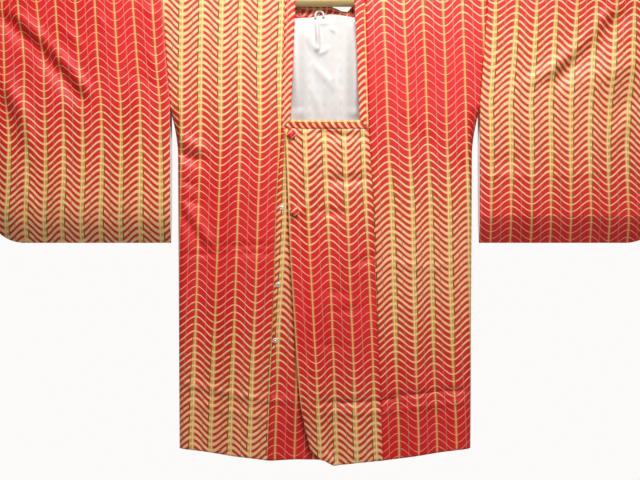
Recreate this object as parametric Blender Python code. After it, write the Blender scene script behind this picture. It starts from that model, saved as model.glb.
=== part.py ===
"""A michiyuki coat, cut and sewn from its real pieces, hanging on a kimono hanger.

Metres, +Z up. +X is the wearer's left, -Y is the front. The origin is the point inside the
hanger's hook that hangs on a rail. Every cloth piece is first a flat pattern piece: X runs
across the cloth and V runs along it, from the shoulder fold on the bar down the front
(negative) or the back (positive). One rule folds that pattern over the bar and round the
sides, and each piece is then a wall of cloth.
"""
import math

import bpy
from mathutils import Vector

# The hanger
BAR_Z = -0.060
BAR_R = 0.012
BAR_HALF = 0.640
BAR_SIDES = 32
WIRE_R = 0.0025
HOOK_INNER_R = 0.018
HOOK_STEM_TOP = -0.0452
HOOK_STEM_STEPS = 3
HOOK_ARC_DEGREES = range(-65, 206, 15)
HOOK_BEND = (
    # x, z
    (0.0009, -0.0418),
    (0.0040, -0.0394),
)
HOOK_SEAT_R = 0.0031
HOOK_SEAT_DEPTH = 0.012

# The cloth walls and the gaps between them
CLOTH = 0.0018
PANEL = 0.0015
LINING = 0.0010
SEAM = 0.0003
BAR_GAP = 0.0005

# Cloth folded over the bar: the radius of its middle, and the length of a quarter turn
FOLD_R = BAR_R + BAR_GAP + CLOTH / 2
QUARTER = FOLD_R * math.pi / 2
FOLD_STEPS = 8

# Depths below the bar's axis
ARMPIT_D = 0.204
TURN_END_D = 0.300
HEM_D = 0.8512
NECK_BOTTOM_D = 0.2284
PANEL_TOP_D = 0.2449
SLEEVE_D = 0.4617
CUFF_D = 0.230
BACK_NECK_D = 0.031

# Half widths from the centre line
SIDE_TOP_X = 0.2800
SIDE_HEM_X = 0.2755
SLEEVE_IN_X = 0.2945
SLEEVE_OUT_X = 0.647
SLEEVE_CORNER_R = 0.072
NECK_TOP_X = 0.0560
NECK_BOTTOM_X = 0.0655

# Front and back stand apart: half of that distance at the hem, and the turn at each side
HEM_HALF_DEPTH = 0.029
SIDE_R = 0.010
SIDE_TURN_EASE = 0.7
SIDE_COLUMNS = 4
FRONT_COLUMNS = 6

# Half width of the flat body strips: to the sleeve seam above, to the gusset seam below
STRIP_HALF = (
    # depth, x
    (0.0000, 0.3107),
    (0.2040, 0.2945),
    (0.3000, 0.2872),
    (0.8512, 0.2925),
)

# The edge that the front body strip shares with the neckband and then with the front panel
FRONT_SEAM = (
    # depth, x
    (0.0000, 0.0765),
    (0.2449, 0.0830),
    (0.3810, 0.0922),
    (0.4950, 0.0950),
    (0.7360, 0.1052),
    (0.8750, 0.1103),
)

# Free edge of the overlap, which is the wearer's left panel
OVERLAP_EDGE = (
    # depth, x
    (0.2449, -0.0760),
    (0.3810, -0.0703),
    (0.4950, -0.0659),
    (0.5970, -0.0595),
    (0.6980, -0.0532),
    (0.7740, -0.0456),
    (0.8130, -0.0380),
    (0.8560, -0.0277),
    (0.8790, -0.0020),
)
UNDERLAP_EDGE = (
    # depth, x
    (0.2449, 0.0400),
    (0.8790, 0.0280),
)
FRONT_HEM = (
    # distance from the centre line, depth
    (0.0000, 0.8755),
    (0.1070, 0.8744),
    (0.2755, 0.8512),
)
OVERLAP_HEM = (
    # x, depth
    (-0.0020, 0.8744),
    (0.0156, 0.8833),
    (0.1070, 0.8744),
    (0.1200, 0.8744),
)

# The overlap lies on the underlap, and its free edge stands a little further off
LAP = 0.0021
LAP_FULL_X = 0.050
LAP_START_X = 0.066
EDGE_LIFT = 0.0018
EDGE_LIFT_WIDTH = 0.036
LAP_RAMP = 0.016
OVERLAP_COLUMNS = 9
UNDERLAP_COLUMNS = 7
BAND_COLUMNS = 8

# Its lower corner has rolled inwards
ROLL_IN = 0.015
ROLL_TOP_D = 0.740
ROLL_LENGTH = 0.140
ROLL_X = (-0.100, -0.050, -0.025, 0.045)

# Below, the underlap hangs a little closer in than its seam
UNDERLAP_SET_IN = 0.0015
SET_IN_START_D = 0.60
SET_IN_GROWTH = 0.20
SET_IN_RAMP = 0.03

# Back neckline: a rounded U in the flat pattern
NECK_CURVE = 2.6
NECK_CURVE_START_V = QUARTER / 2
NECK_END_V = QUARTER + BACK_NECK_D
NECK_ANGLES = (15, 30, 45, 60, 75, 90)
BACK_BAND = 0.0195
NECK_GAP_GROWTH = 3

# Depths of the rows of points, for a hem at HEM_D
TOP_ROWS = (0.0, 0.034, 0.068, 0.102, 0.136, 0.170, 0.204)
ARMPIT_ROWS = (0.209, 0.216, 0.228, 0.2452, 0.270, 0.300)
SKIRT_ROWS = 10
BACK_SKIRT_ROWS = 7
LAST_ROW_SHARE = 0.965
NECKBAND_ROWS = (0.2090, 0.1700, 0.1360, 0.1020, 0.0680, 0.0340, 0.0)

# Faint ripple of all the cloth: heights, and turns in radians for each metre
RIPPLE_ON_BAR = 0.0001
RIPPLE_BELOW = 0.0003
RIPPLE_ACROSS = 41.0
RIPPLE_DOWN = 11.0

# Soft lengthwise waves of the hung body cloth, which grow towards the hem and fade at seams
WAVES_START_D = 0.10
WAVES_GROWTH = 0.55
WAVES_SIDE_FADE = 0.03
WAVES_BACK_FADE = 0.05
BODY_WAVES = (
    # face (-1 front, 1 back), x, half width, height at the hem
    (-1, -0.225, 0.030, -0.0040),
    (-1, -0.170, 0.028, 0.0045),
    (-1, 0.165, 0.030, 0.0040),
    (-1, 0.222, 0.026, -0.0038),
    (-1, 0.020, 0.030, 0.0012),
    (1, -0.190, 0.032, 0.0045),
    (1, -0.110, 0.030, -0.0040),
    (1, 0.105, 0.030, 0.0042),
    (1, 0.185, 0.032, -0.0042),
)

# A sleeve's front and back meet along its sewn edges and are full this far inside them
SLEEVE_FULL_INSET = 0.14
CUFF_CLOSING = 0.06
SLEEVE_COLUMNS = 13
SLEEVE_FRONT_ROWS = (0.0, 0.020, 0.042, 0.068, 0.091, 0.114, 0.136, 0.158, 0.181, 0.204)
SLEEVE_LOWER_ROWS = (0.2400, 0.2800, 0.3200, 0.3560)
SLEEVE_CORNER_ANGLES = (0, 22.5, 45, 67.5)

# Folds of the sleeves: drag valleys that run from the shoulder towards the body, soft ridges
FOLD_START_D = 0.012
FOLD_FADE = 0.03
FOLD_EDGE_FADE = 0.04
SLEEVE_FOLDS = (
    # face, start x, start depth, end x, end depth, height, half width
    (-1, -0.6175, 0.030, -0.5396, 0.0903, -0.0050, 0.014),
    (-1, -0.5396, 0.0903, -0.4617, 0.187, -0.0050, 0.014),
    (-1, 0.5490, 0.030, 0.4900, 0.090, -0.0050, 0.014),
    (-1, 0.4900, 0.090, 0.4410, 0.160, -0.0045, 0.014),
    (-1, -0.3500, 0.200, -0.3650, 0.400, 0.0025, 0.022),
    (-1, 0.3550, 0.180, 0.3750, 0.400, 0.0025, 0.022),
    (-1, 0.5200, 0.230, 0.5000, 0.400, 0.0025, 0.024),
    (-1, -0.5200, 0.260, -0.5000, 0.400, 0.0022, 0.024),
    (1, -0.5900, 0.040, -0.4600, 0.200, -0.0045, 0.015),
    (1, 0.5800, 0.040, 0.4700, 0.180, -0.0045, 0.015),
    (1, -0.3600, 0.180, -0.3800, 0.390, 0.0025, 0.024),
    (1, 0.3600, 0.200, 0.3900, 0.390, 0.0025, 0.024),
)

# The side gussets fold inwards
GUSSET_FOLD_TOP = 0.003
GUSSET_FOLD_HEM = 0.038
GUSSET_STEPS = 8

# Fastenings
BUTTONS = (
    # x, depth
    (-0.0640, 0.2563),
    (-0.0578, 0.4028),
)
SNAPS = (
    # socket x on the underlap, stud x under the overlap, depth
    (-0.0817, -0.0615, 0.3954),
    (-0.0895, -0.0555, 0.5413),
    (-0.0945, -0.0485, 0.6470),
)
BUTTON_PROFILE = (
    # radius, height
    (0.0066, 0.0),
    (0.0077, 0.0010),
    (0.0077, 0.0022),
    (0.0068, 0.0041),
    (0.0047, 0.0056),
    (0.0022, 0.0063),
)
SOCKET_PROFILE = (
    # radius, height
    (0.0042, 0.0),
    (0.0042, 0.0006),
    (0.0032, 0.0016),
    (0.0016, 0.0016),
    (0.0014, 0.0008),
)
STUD_PROFILE = (
    # radius, height
    (0.0042, 0.0),
    (0.0040, 0.0006),
    (0.0014, 0.0008),
    (0.0013, 0.0014),
)

# Hanging loop at the back neck
LOOP_X = -0.0106
LOOP_WIDTH = 0.0184
LOOP_TOP_D = 0.0211
LOOP_FOOT_D = 0.0345
LOOP_CORD_R = 0.0018
LOOP_STEPS = 14

# Colours as seen in even light
RED = (0.62, 0.03, 0.04)
WHITE_SILK = (0.86, 0.83, 0.83)
BAR_TAN = (0.42, 0.31, 0.11)
STEEL = (0.60, 0.60, 0.62)
SNAP_WHITE = (0.85, 0.85, 0.84)


def clear_scene():
    """Remove whatever the file held before."""
    for old in list(bpy.data.objects):
        bpy.data.objects.remove(old, do_unlink=True)


def smooth(t):
    """Ease from 0 to 1 as t goes from 0 to 1."""
    t = min(max(t, 0.0), 1.0)
    return t * t * (3 - 2 * t)


def along(table, key):
    """Read a two-column table at key, straight between its rows and level past its ends."""
    if key <= table[0][0]:
        return table[0][1]
    for (k0, value0), (k1, value1) in zip(table, table[1:]):
        if key <= k1:
            return value0 + (value1 - value0) * (key - k0) / (k1 - k0)
    return table[-1][1]


def spread(d):
    """Half the distance between front and back, which grows evenly from the bar to the hem."""
    return FOLD_R + (HEM_HALF_DEPTH - FOLD_R) * max(d, 0.0) / HEM_D


def ripple(x, d):
    """Faint unevenness of all the cloth, least on the bar."""
    height = RIPPLE_ON_BAR + (RIPPLE_BELOW - RIPPLE_ON_BAR) * smooth(d / ARMPIT_D)
    return height * math.sin(RIPPLE_ACROSS * x + RIPPLE_DOWN * d)


def side_x(d):
    """Half width of the hanging body at its side."""
    share = (d - ARMPIT_D) / (HEM_D - ARMPIT_D)
    return SIDE_TOP_X + (SIDE_HEM_X - SIDE_TOP_X) * min(max(share, 0.0), 1.0)


def side_turn(d):
    """Angle by which the cloth has turned round the side, from none at the armpit to square."""
    share = min(max((d - ARMPIT_D) / (TURN_END_D - ARMPIT_D), 0.0), 1.0)
    return math.pi / 2 * share ** SIDE_TURN_EASE


def roll(x, d):
    """How far the lower front corner and the cloth behind it have rolled inwards."""
    left_start, left_full, right_full, right_end = ROLL_X
    rise = smooth((x - left_start) / (left_full - left_start))
    fall = smooth((right_end - x) / (right_end - right_full))
    return ROLL_IN * smooth((d - ROLL_TOP_D) / ROLL_LENGTH) * rise * fall


def waves(x, d, face):
    """Outward height of the lengthwise waves at a point of the body cloth."""
    total = 0.0
    for wave_face, centre, width, height in BODY_WAVES:
        if wave_face == face:
            total += height * math.exp(-((x - centre) / width) ** 2)
    calm_side = smooth((side_x(d) - SIDE_R - abs(x)) / WAVES_SIDE_FADE)
    calm_back = smooth(abs(x) / WAVES_BACK_FADE) if face > 0 else 1.0
    return total * smooth((d - WAVES_START_D) / WAVES_GROWTH) * calm_side * calm_back


def over_bar(x, v, out):
    """A point of cloth on the bar, where the flat pattern wraps half round it."""
    angle = v / FOLD_R
    radius = FOLD_R + ripple(x, 0.0) + out
    return Vector((x, radius * math.sin(angle), BAR_Z + radius * math.cos(angle)))


def body_point(x, v, out=0.0):
    """Fold a point of the flat body pattern into place, moved outwards by out."""
    if abs(v) < QUARTER:
        return over_bar(x, v, out)
    d = abs(v) - QUARTER
    face = -1 if v < 0 else 1
    across = abs(x)
    level = spread(d) + ripple(x, d) + waves(x, d, face) + out
    if face < 0:
        level -= roll(x, d)
    start = side_x(d) - SIDE_R
    inward = 0.0
    if across > start and d > ARMPIT_D:
        turn = side_turn(d)
        bend = min((across - start) / SIDE_R, turn)
        rest = max(across - start - SIDE_R * turn, 0.0)
        inward = SIDE_R * (1 - math.cos(bend)) + rest * math.sin(turn)
        across = start + SIDE_R * math.sin(bend) + rest * math.cos(turn)
    return Vector((math.copysign(across, x), face * (level - inward), BAR_Z - d))


def front_v(row, x, hem=FRONT_HEM):
    """Pattern length of a front row at x: rows below the armpit share out the sloping hem."""
    if row <= TURN_END_D:
        return -(QUARTER + row)
    key = abs(x) if hem is FRONT_HEM else x
    share = (row - TURN_END_D) / (HEM_D - TURN_END_D)
    return -(QUARTER + TURN_END_D + share * (along(hem, key) - TURN_END_D))


def skirt_rows(count):
    """Row depths from the end of the side turn to the hem, with one close above the hem."""
    step = (HEM_D - TURN_END_D) / count
    rows = [TURN_END_D + step * number for number in range(1, count)]
    rows.append(TURN_END_D + (HEM_D - TURN_END_D) * LAST_ROW_SHARE)
    rows.append(HEM_D)
    return rows


def fold_lengths():
    """Pattern lengths of the rows on the bar, between the front and back quarter turns."""
    return [QUARTER * (2 * number / FOLD_STEPS - 1) for number in range(1, FOLD_STEPS)]


def neck_share(v):
    """Share of the back neckline's depth at pattern length v."""
    return min(max((v - NECK_CURVE_START_V) / (NECK_END_V - NECK_CURVE_START_V), 0.0), 1.0)


def neck_lengths():
    """Pattern lengths of the rows that draw the rounded back neckline."""
    span = NECK_END_V - NECK_CURVE_START_V
    return [NECK_CURVE_START_V + span * math.sin(math.radians(a)) ** (2 / NECK_CURVE)
            for a in NECK_ANGLES]


def neckline_x(v):
    """Half width of the neck hole in the body strips at pattern length v."""
    if v <= 0:
        return along(FRONT_SEAM, max(-v - QUARTER, 0.0))
    return FRONT_SEAM[0][1] * (1 - neck_share(v) ** NECK_CURVE) ** (1 / NECK_CURVE)


def new_material(name, colour, roughness, metallic=0.0):
    """One Principled material for one object."""
    finish = bpy.data.materials.new(name)
    finish.use_nodes = True
    shader = finish.node_tree.nodes["Principled BSDF"]
    shader.inputs["Base Color"].default_value = (*colour, 1.0)
    shader.inputs["Roughness"].default_value = roughness
    shader.inputs["Metallic"].default_value = metallic
    return finish


def new_object(name, vertices, faces, colour, roughness, metallic=0.0):
    """Make a mesh object with its own material and smooth faces."""
    mesh = bpy.data.meshes.new(name)
    mesh.from_pydata([tuple(vertex) for vertex in vertices], [], faces)
    mesh.update()
    mesh.shade_smooth()
    mesh.set_sharp_from_angle(angle=math.radians(50))
    made = bpy.data.objects.new(name, mesh)
    made.data.materials.append(new_material(name, colour, roughness, metallic))
    bpy.context.collection.objects.link(made)
    return made


def cloth(name, rows, thickness, colour=RED, roughness=0.55):
    """Turn rows of points into a wall of cloth with its middle on those points."""
    width = len(rows[0])
    vertices = [point for row in rows for point in row]
    faces = []
    for r in range(len(rows) - 1):
        for c in range(width - 1):
            corner = r * width + c
            faces.append((corner, corner + 1, corner + width + 1, corner + width))
    made = new_object(name, vertices, faces, colour, roughness)
    wall = made.modifiers.new("Wall", "SOLIDIFY")
    wall.thickness = thickness
    wall.offset = 0.0
    return made


def body_columns(inner, d):
    """Places across a body strip: even to the side turn, then closer round it."""
    start = side_x(d) - SIDE_R
    outer = along(STRIP_HALF, d) - SEAM / 2
    places = [inner + (start - inner) * c / FRONT_COLUMNS for c in range(FRONT_COLUMNS)]
    places += [start + (outer - start) * c / SIDE_COLUMNS for c in range(SIDE_COLUMNS + 1)]
    return places


def make_body(name, side):
    """One strip from the front hem over the shoulder to the back hem."""
    rows = []
    for depth in reversed(TOP_ROWS + ARMPIT_ROWS + tuple(skirt_rows(SKIRT_ROWS))):
        inner = along(FRONT_SEAM, depth) + SEAM / 2
        places = body_columns(inner, depth)
        rows.append([body_point(side * x, front_v(depth, x)) for x in places])
    for v in fold_lengths():
        inner = neckline_x(v) + SEAM / 2
        rows.append([body_point(side * x, v) for x in body_columns(inner, 0.0)])
    neck_rows = [QUARTER] + neck_lengths()
    for v in neck_rows:
        inner = max(neckline_x(v), 0.0) + SEAM / 2
        rows.append([body_point(side * x, v) for x in body_columns(inner, v - QUARTER)])
    for depth in TOP_ROWS[2:] + ARMPIT_ROWS + tuple(skirt_rows(BACK_SKIRT_ROWS)):
        places = body_columns(SEAM / 2, depth)
        rows.append([body_point(side * x, QUARTER + depth) for x in places])
    return cloth(name, rows, CLOTH)


def lap_height(x, d):
    """How far the overlap stands out from the front plane."""
    lap = LAP * smooth((LAP_START_X - x) / (LAP_START_X - LAP_FULL_X))
    edge = along(OVERLAP_EDGE, d)
    return lap + EDGE_LIFT * smooth((edge + EDGE_LIFT_WIDTH - x) / LAP_RAMP)


def panel_rows():
    """Row depths of a front panel, from below its band to the hem."""
    return (PANEL_TOP_D + SEAM,) + ARMPIT_ROWS[4:] + tuple(skirt_rows(SKIRT_ROWS))


def make_underlap():
    """The wearer's right front panel, which lies under the other and hangs closer in below."""
    rows = []
    for depth in panel_rows():
        left = -along(FRONT_SEAM, depth) + SEAM / 2
        right = along(UNDERLAP_EDGE, depth)
        low = smooth((depth - SET_IN_START_D) / SET_IN_GROWTH)
        row = []
        for c in range(UNDERLAP_COLUMNS + 1):
            x = left + (right - left) * c / UNDERLAP_COLUMNS
            set_in = UNDERLAP_SET_IN * low * smooth((x - left) / SET_IN_RAMP)
            row.append(body_point(x, front_v(depth, x), -set_in))
        rows.append(row)
    return cloth("front_panel_right", rows, PANEL)


def make_overlap():
    """The wearer's left front panel, which closes over the other one."""
    rows = []
    for depth in panel_rows():
        deep = -front_v(depth, 0.0, OVERLAP_HEM) - QUARTER
        left = along(OVERLAP_EDGE, deep)
        right = along(FRONT_SEAM, depth) - SEAM / 2
        row = []
        for c in range(OVERLAP_COLUMNS + 1):
            x = left + (right - left) * c / OVERLAP_COLUMNS
            v = front_v(depth, x, OVERLAP_HEM)
            row.append(body_point(x, v, lap_height(x, -v - QUARTER)))
        rows.append(row)
    return cloth("front_panel_left", rows, PANEL)


def make_panel_band(name, left_top, left_bottom, right_top, right_bottom, lapped):
    """A level length of the neckband on top of a front panel, with slanted ends."""
    rows = []
    for share in (0.0, 0.5, 1.0):
        d = NECK_BOTTOM_D + (PANEL_TOP_D - NECK_BOTTOM_D) * share
        left = left_top + (left_bottom - left_top) * share
        right = right_top + (right_bottom - right_top) * share
        row = []
        for c in range(BAND_COLUMNS + 1):
            x = left + (right - left) * c / BAND_COLUMNS
            out = lap_height(x, PANEL_TOP_D) if lapped else 0.0
            row.append(body_point(x, -(QUARTER + d), out))
        rows.append(row)
    return cloth(name, rows, PANEL)


def neckband_half():
    """Outer and inner pattern points of half the neckband, front corner to centre back."""
    outer = [(along(FRONT_SEAM, PANEL_TOP_D), -(QUARTER + PANEL_TOP_D))]
    inner = [(NECK_BOTTOM_X, -(QUARTER + NECK_BOTTOM_D))]
    lengths = [-(QUARTER + depth) for depth in NECKBAND_ROWS]
    lengths += [v for v in fold_lengths() if v <= NECK_CURVE_START_V]
    for v in lengths:
        d = max(-v - QUARTER, 0.0)
        outer.append((neckline_x(min(v, 0.0)), v))
        inner.append((NECK_TOP_X + (NECK_BOTTOM_X - NECK_TOP_X) * d / NECK_BOTTOM_D, v))
    curve = [v for v in fold_lengths() if v > NECK_CURVE_START_V + SEAM]
    for v in curve + [QUARTER] + neck_lengths():
        q = neck_share(v)
        sine = q ** (NECK_CURVE / 2)
        cosine = math.sqrt(max(1 - sine * sine, 0.0))
        inner_span = NECK_END_V - BACK_BAND - NECK_CURVE_START_V
        outer.append((neckline_x(v), v))
        inner.append((NECK_TOP_X * cosine ** (2 / NECK_CURVE), NECK_CURVE_START_V + inner_span * q))
    return outer, inner


def make_neckband():
    """The narrow folded band round the neck, over the bar and across the back."""
    outer, inner = neckband_half()
    rows = []
    for side in (1, -1):
        half = []
        for (outer_x, outer_v), (inner_x, inner_v) in zip(outer, inner):
            outer_x = max(outer_x - SEAM / 2, 0.0)
            outer_v -= SEAM * smooth(neck_share(outer_v) * NECK_GAP_GROWTH)
            middle = ((outer_x + inner_x) / 2, (outer_v + inner_v) / 2)
            places = ((outer_x, outer_v), middle, (inner_x, inner_v))
            half.append([body_point(side * x, v) for x, v in places])
        rows.append(half)
    joined = rows[0] + list(reversed(rows[1][:-1]))
    return cloth("neckband", joined, PANEL)


def make_gusset(name, side):
    """The side wedge between front and back, folded inwards."""
    rows = []
    for depth in ARMPIT_ROWS + tuple(skirt_rows(SKIRT_ROWS)):
        end = body_point(side * (along(STRIP_HALF, depth) - SEAM / 2), -(QUARTER + depth))
        edge_half = CLOTH / 2 * math.cos(side_turn(depth))
        half_gap = -end.y - SEAM - PANEL / 2 - edge_half
        share = (depth - ARMPIT_D) / (HEM_D - ARMPIT_D)
        fold = GUSSET_FOLD_TOP + (GUSSET_FOLD_HEM - GUSSET_FOLD_TOP) * share
        row = []
        for step in range(GUSSET_STEPS + 1):
            angle = math.pi * (step / GUSSET_STEPS - 0.5)
            y = math.copysign(half_gap * abs(math.sin(angle)) ** 0.5, angle)
            inward = fold * max(math.cos(angle), 0.0) ** 0.5
            row.append(Vector((end.x - side * inward, y, end.z)))
        rows.append(row)
    return cloth(name, rows, PANEL)


def sleeve_fullness(x, d):
    """Share of the sleeve's depth at a point: none where front and back are sewn together."""
    across = abs(x)
    corner_x = SLEEVE_OUT_X - SLEEVE_CORNER_R
    corner_d = SLEEVE_D - SLEEVE_CORNER_R
    if across > corner_x and d > corner_d:
        inset = SLEEVE_CORNER_R - math.hypot(across - corner_x, d - corner_d)
    else:
        open_cuff = 1 - smooth((d - CUFF_D + CUFF_CLOSING) / CUFF_CLOSING)
        inset = min(SLEEVE_D - d, SLEEVE_OUT_X - across + open_cuff)
    return math.sin(math.pi / 2 * min(max(inset / SLEEVE_FULL_INSET, 0.0), 1.0))


def sleeve_folds(x, d, face):
    """Outward height of the folds of a sleeve at a point."""
    valley = 0.0
    ridge = 0.0
    for fold_face, x0, d0, x1, d1, height, width in SLEEVE_FOLDS:
        if fold_face != face or x * x0 < 0:
            continue
        run = Vector((x1 - x0, d1 - d0))
        place = Vector((x - x0, d - d0))
        share = min(max(place.dot(run) / run.dot(run), 0.0), 1.0)
        away = (place - run * share).length
        rise = height * math.exp(-(away / width) ** 2)
        valley = min(valley, rise)
        ridge = max(ridge, rise)
    return valley + ridge


def sleeve_point(x, v):
    """Fold a point of the flat sleeve pattern over the bar."""
    if abs(v) < QUARTER:
        return over_bar(x, v, 0.0)
    d = abs(v) - QUARTER
    face = -1 if v < 0 else 1
    sewn = CLOTH / 2 + SEAM
    fullness = sleeve_fullness(x, d)
    calm = smooth((d - FOLD_START_D) / FOLD_FADE) * fullness
    calm *= smooth((abs(x) - SLEEVE_IN_X) / FOLD_EDGE_FADE)
    level = sewn + (spread(min(d, ARMPIT_D)) + ripple(x, d) - sewn) * fullness
    level += sleeve_folds(x, d, face) * calm
    return Vector((x, face * max(level, sewn), BAR_Z - d))


def sleeve_rows(upper_rows):
    """Row depths of one face of a sleeve, from below the bar to its bottom."""
    corner_d = SLEEVE_D - SLEEVE_CORNER_R
    rows = list(upper_rows + SLEEVE_LOWER_ROWS)
    for angle in SLEEVE_CORNER_ANGLES:
        rows.append(corner_d + SLEEVE_CORNER_R * math.sin(math.radians(angle)))
    rows.append(SLEEVE_D)
    return rows


def sleeve_row(side, v):
    """Points across a sleeve at pattern length v, shorter in the rounded corner."""
    d = max(abs(v) - QUARTER, 0.0)
    corner_d = SLEEVE_D - SLEEVE_CORNER_R
    outer = SLEEVE_OUT_X
    if d > corner_d:
        rise = math.sqrt(max(SLEEVE_CORNER_R ** 2 - (d - corner_d) ** 2, 0.0))
        outer = SLEEVE_OUT_X - SLEEVE_CORNER_R + rise
    inner = along(STRIP_HALF, min(d, ARMPIT_D)) + SEAM / 2
    step = (outer - inner) / SLEEVE_COLUMNS
    return [sleeve_point(side * (inner + step * c), v) for c in range(SLEEVE_COLUMNS + 1)]


def make_sleeve(name, side):
    """One strip folded at the shoulder, sewn below the cuff and along its bottom."""
    front = sleeve_rows(SLEEVE_FRONT_ROWS)
    back = sleeve_rows(TOP_ROWS)
    lengths = [-(QUARTER + d) for d in reversed(front)]
    lengths += fold_lengths()
    lengths += [QUARTER + d for d in back]
    return cloth(name, [sleeve_row(side, v) for v in lengths], CLOTH)


def make_lining():
    """White lining of the back, from the neckline down, close inside the body strips."""
    inside = -(CLOTH / 2 + 2 * SEAM + LINING / 2)
    lengths = [NECK_END_V + 2 * SEAM]
    lengths += [QUARTER + d for d in TOP_ROWS[2:] + ARMPIT_ROWS]
    lengths += [QUARTER + d for d in skirt_rows(BACK_SKIRT_ROWS)[:-1]]
    rows = []
    for v in lengths:
        half = body_columns(SEAM / 2, v - QUARTER)[:FRONT_COLUMNS]
        places = [-x for x in reversed(half)] + half
        rows.append([body_point(x, v, inside) for x in places])
    return cloth("back_lining", rows, LINING, WHITE_SILK, 0.4)


def turned(name, profile, steps, centre, facing, colour, roughness, metallic=0.0):
    """A round piece turned from its profile, with its axis along Y and its top towards facing."""
    vertices = []
    faces = []
    for radius, height in profile:
        for step in range(steps):
            angle = 2 * math.pi * step / steps
            offset = Vector((radius * math.cos(angle), facing * height, radius * math.sin(angle)))
            vertices.append(Vector(centre) + offset)
    for ring in range(len(profile) - 1):
        for step in range(steps):
            following = (step + 1) % steps
            low = ring * steps
            high = low + steps
            faces.append((low + step, low + following, high + following, high + step))
    faces.append(tuple(reversed(range(steps))))
    faces.append(tuple(range(len(vertices) - steps, len(vertices))))
    if facing > 0:
        faces = [face[::-1] for face in faces]
    return new_object(name, vertices, faces, colour, roughness, metallic)


def make_buttons():
    """Two cloth-covered buttons near the free edge of the overlap."""
    for number, (x, d) in enumerate(BUTTONS, start=1):
        seat = body_point(x, -(QUARTER + d), lap_height(x, d) + PANEL / 2 + 2 * SEAM)
        turned(f"button_{number}", BUTTON_PROFILE, 18, seat, -1, RED, 0.6)


def make_snaps():
    """Snap sockets on the underlap and their studs under the edge of the overlap."""
    for number, (socket_x, stud_x, d) in enumerate(SNAPS, start=1):
        seat = body_point(socket_x, -(QUARTER + d), PANEL / 2 + SEAM)
        turned(f"snap_socket_{number}", SOCKET_PROFILE, 12, seat, -1, SNAP_WHITE, 0.35, 0.2)
        under = lap_height(stud_x, d) - PANEL / 2 - SEAM
        seat = body_point(stud_x, -(QUARTER + d), under)
        turned(f"snap_stud_{number}", STUD_PROFILE, 12, seat, 1, SNAP_WHITE, 0.35, 0.2)


def tube(name, points, radius, resolution, colour, roughness, metallic=0.0):
    """A round rod or cord along its points, with closed ends."""
    curve = bpy.data.curves.new(name, "CURVE")
    curve.dimensions = "3D"
    curve.bevel_depth = radius
    curve.bevel_resolution = resolution
    curve.use_fill_caps = True
    spline = curve.splines.new("POLY")
    spline.points.add(len(points) - 1)
    for target, point in zip(spline.points, points):
        target.co = (*point, 1.0)
    made = bpy.data.objects.new(name, curve)
    curve.materials.append(new_material(name, colour, roughness, metallic))
    bpy.context.collection.objects.link(made)
    return made


def make_loop():
    """White hanging loop: both ends sewn down at the back neckline, its bow standing up."""
    half = LOOP_WIDTH / 2 - LOOP_CORD_R
    rise = LOOP_FOOT_D - LOOP_TOP_D
    inside = -(CLOTH / 2 + 2 * SEAM + LINING + SEAM + LOOP_CORD_R)
    points = []
    for step in range(LOOP_STEPS + 1):
        angle = math.pi * step / LOOP_STEPS
        x = LOOP_X + half * math.cos(angle)
        d = LOOP_FOOT_D - rise * math.sin(angle)
        points.append(body_point(x, QUARTER + d, inside))
    return tube("neck_loop", points, LOOP_CORD_R, 2, WHITE_SILK, 0.6)


def make_bar():
    """Round hanger bar with a blind hole for the hook's stem."""
    vertices = []
    for x in (-BAR_HALF, BAR_HALF):
        for step in range(BAR_SIDES):
            angle = 2 * math.pi * step / BAR_SIDES
            vertices.append((x, BAR_R * math.cos(angle), BAR_Z + BAR_R * math.sin(angle)))
    faces = []
    for step in range(BAR_SIDES):
        following = (step + 1) % BAR_SIDES
        faces.append((step, following, BAR_SIDES + following, BAR_SIDES + step))
    faces.append(tuple(reversed(range(BAR_SIDES))))
    faces.append(tuple(range(BAR_SIDES, 2 * BAR_SIDES)))
    bar = new_object("hanger_bar", vertices, faces, BAR_TAN, 0.4, 0.3)
    bpy.ops.mesh.primitive_cylinder_add(vertices=16, radius=HOOK_SEAT_R, depth=2 * HOOK_SEAT_DEPTH,
                                        location=(0, 0, BAR_Z + BAR_R))
    cutter = bpy.context.object
    cutter.name = "hook_seat_cutter"
    cutter.hide_render = True
    cutter.display_type = "WIRE"
    seat = bar.modifiers.new("Hook seat", "BOOLEAN")
    seat.operation = "DIFFERENCE"
    seat.object = cutter
    return bar


def make_hook():
    """Plain wire hook: a stem out of the bar, a bend, and three quarters of a circle."""
    middle_r = HOOK_INNER_R + WIRE_R
    centre_z = -HOOK_INNER_R
    foot = BAR_Z + BAR_R - HOOK_SEAT_DEPTH + SEAM
    rise = (HOOK_STEM_TOP - foot) / HOOK_STEM_STEPS
    points = [(0.0, 0.0, foot + rise * step) for step in range(HOOK_STEM_STEPS + 1)]
    points += [(x, 0.0, z) for x, z in HOOK_BEND]
    for angle in HOOK_ARC_DEGREES:
        x = middle_r * math.cos(math.radians(angle))
        z = centre_z + middle_r * math.sin(math.radians(angle))
        points.append((x, 0.0, z))
    return tube("hanger_hook", points, WIRE_R, 3, STEEL, 0.25, 1.0)


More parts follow.
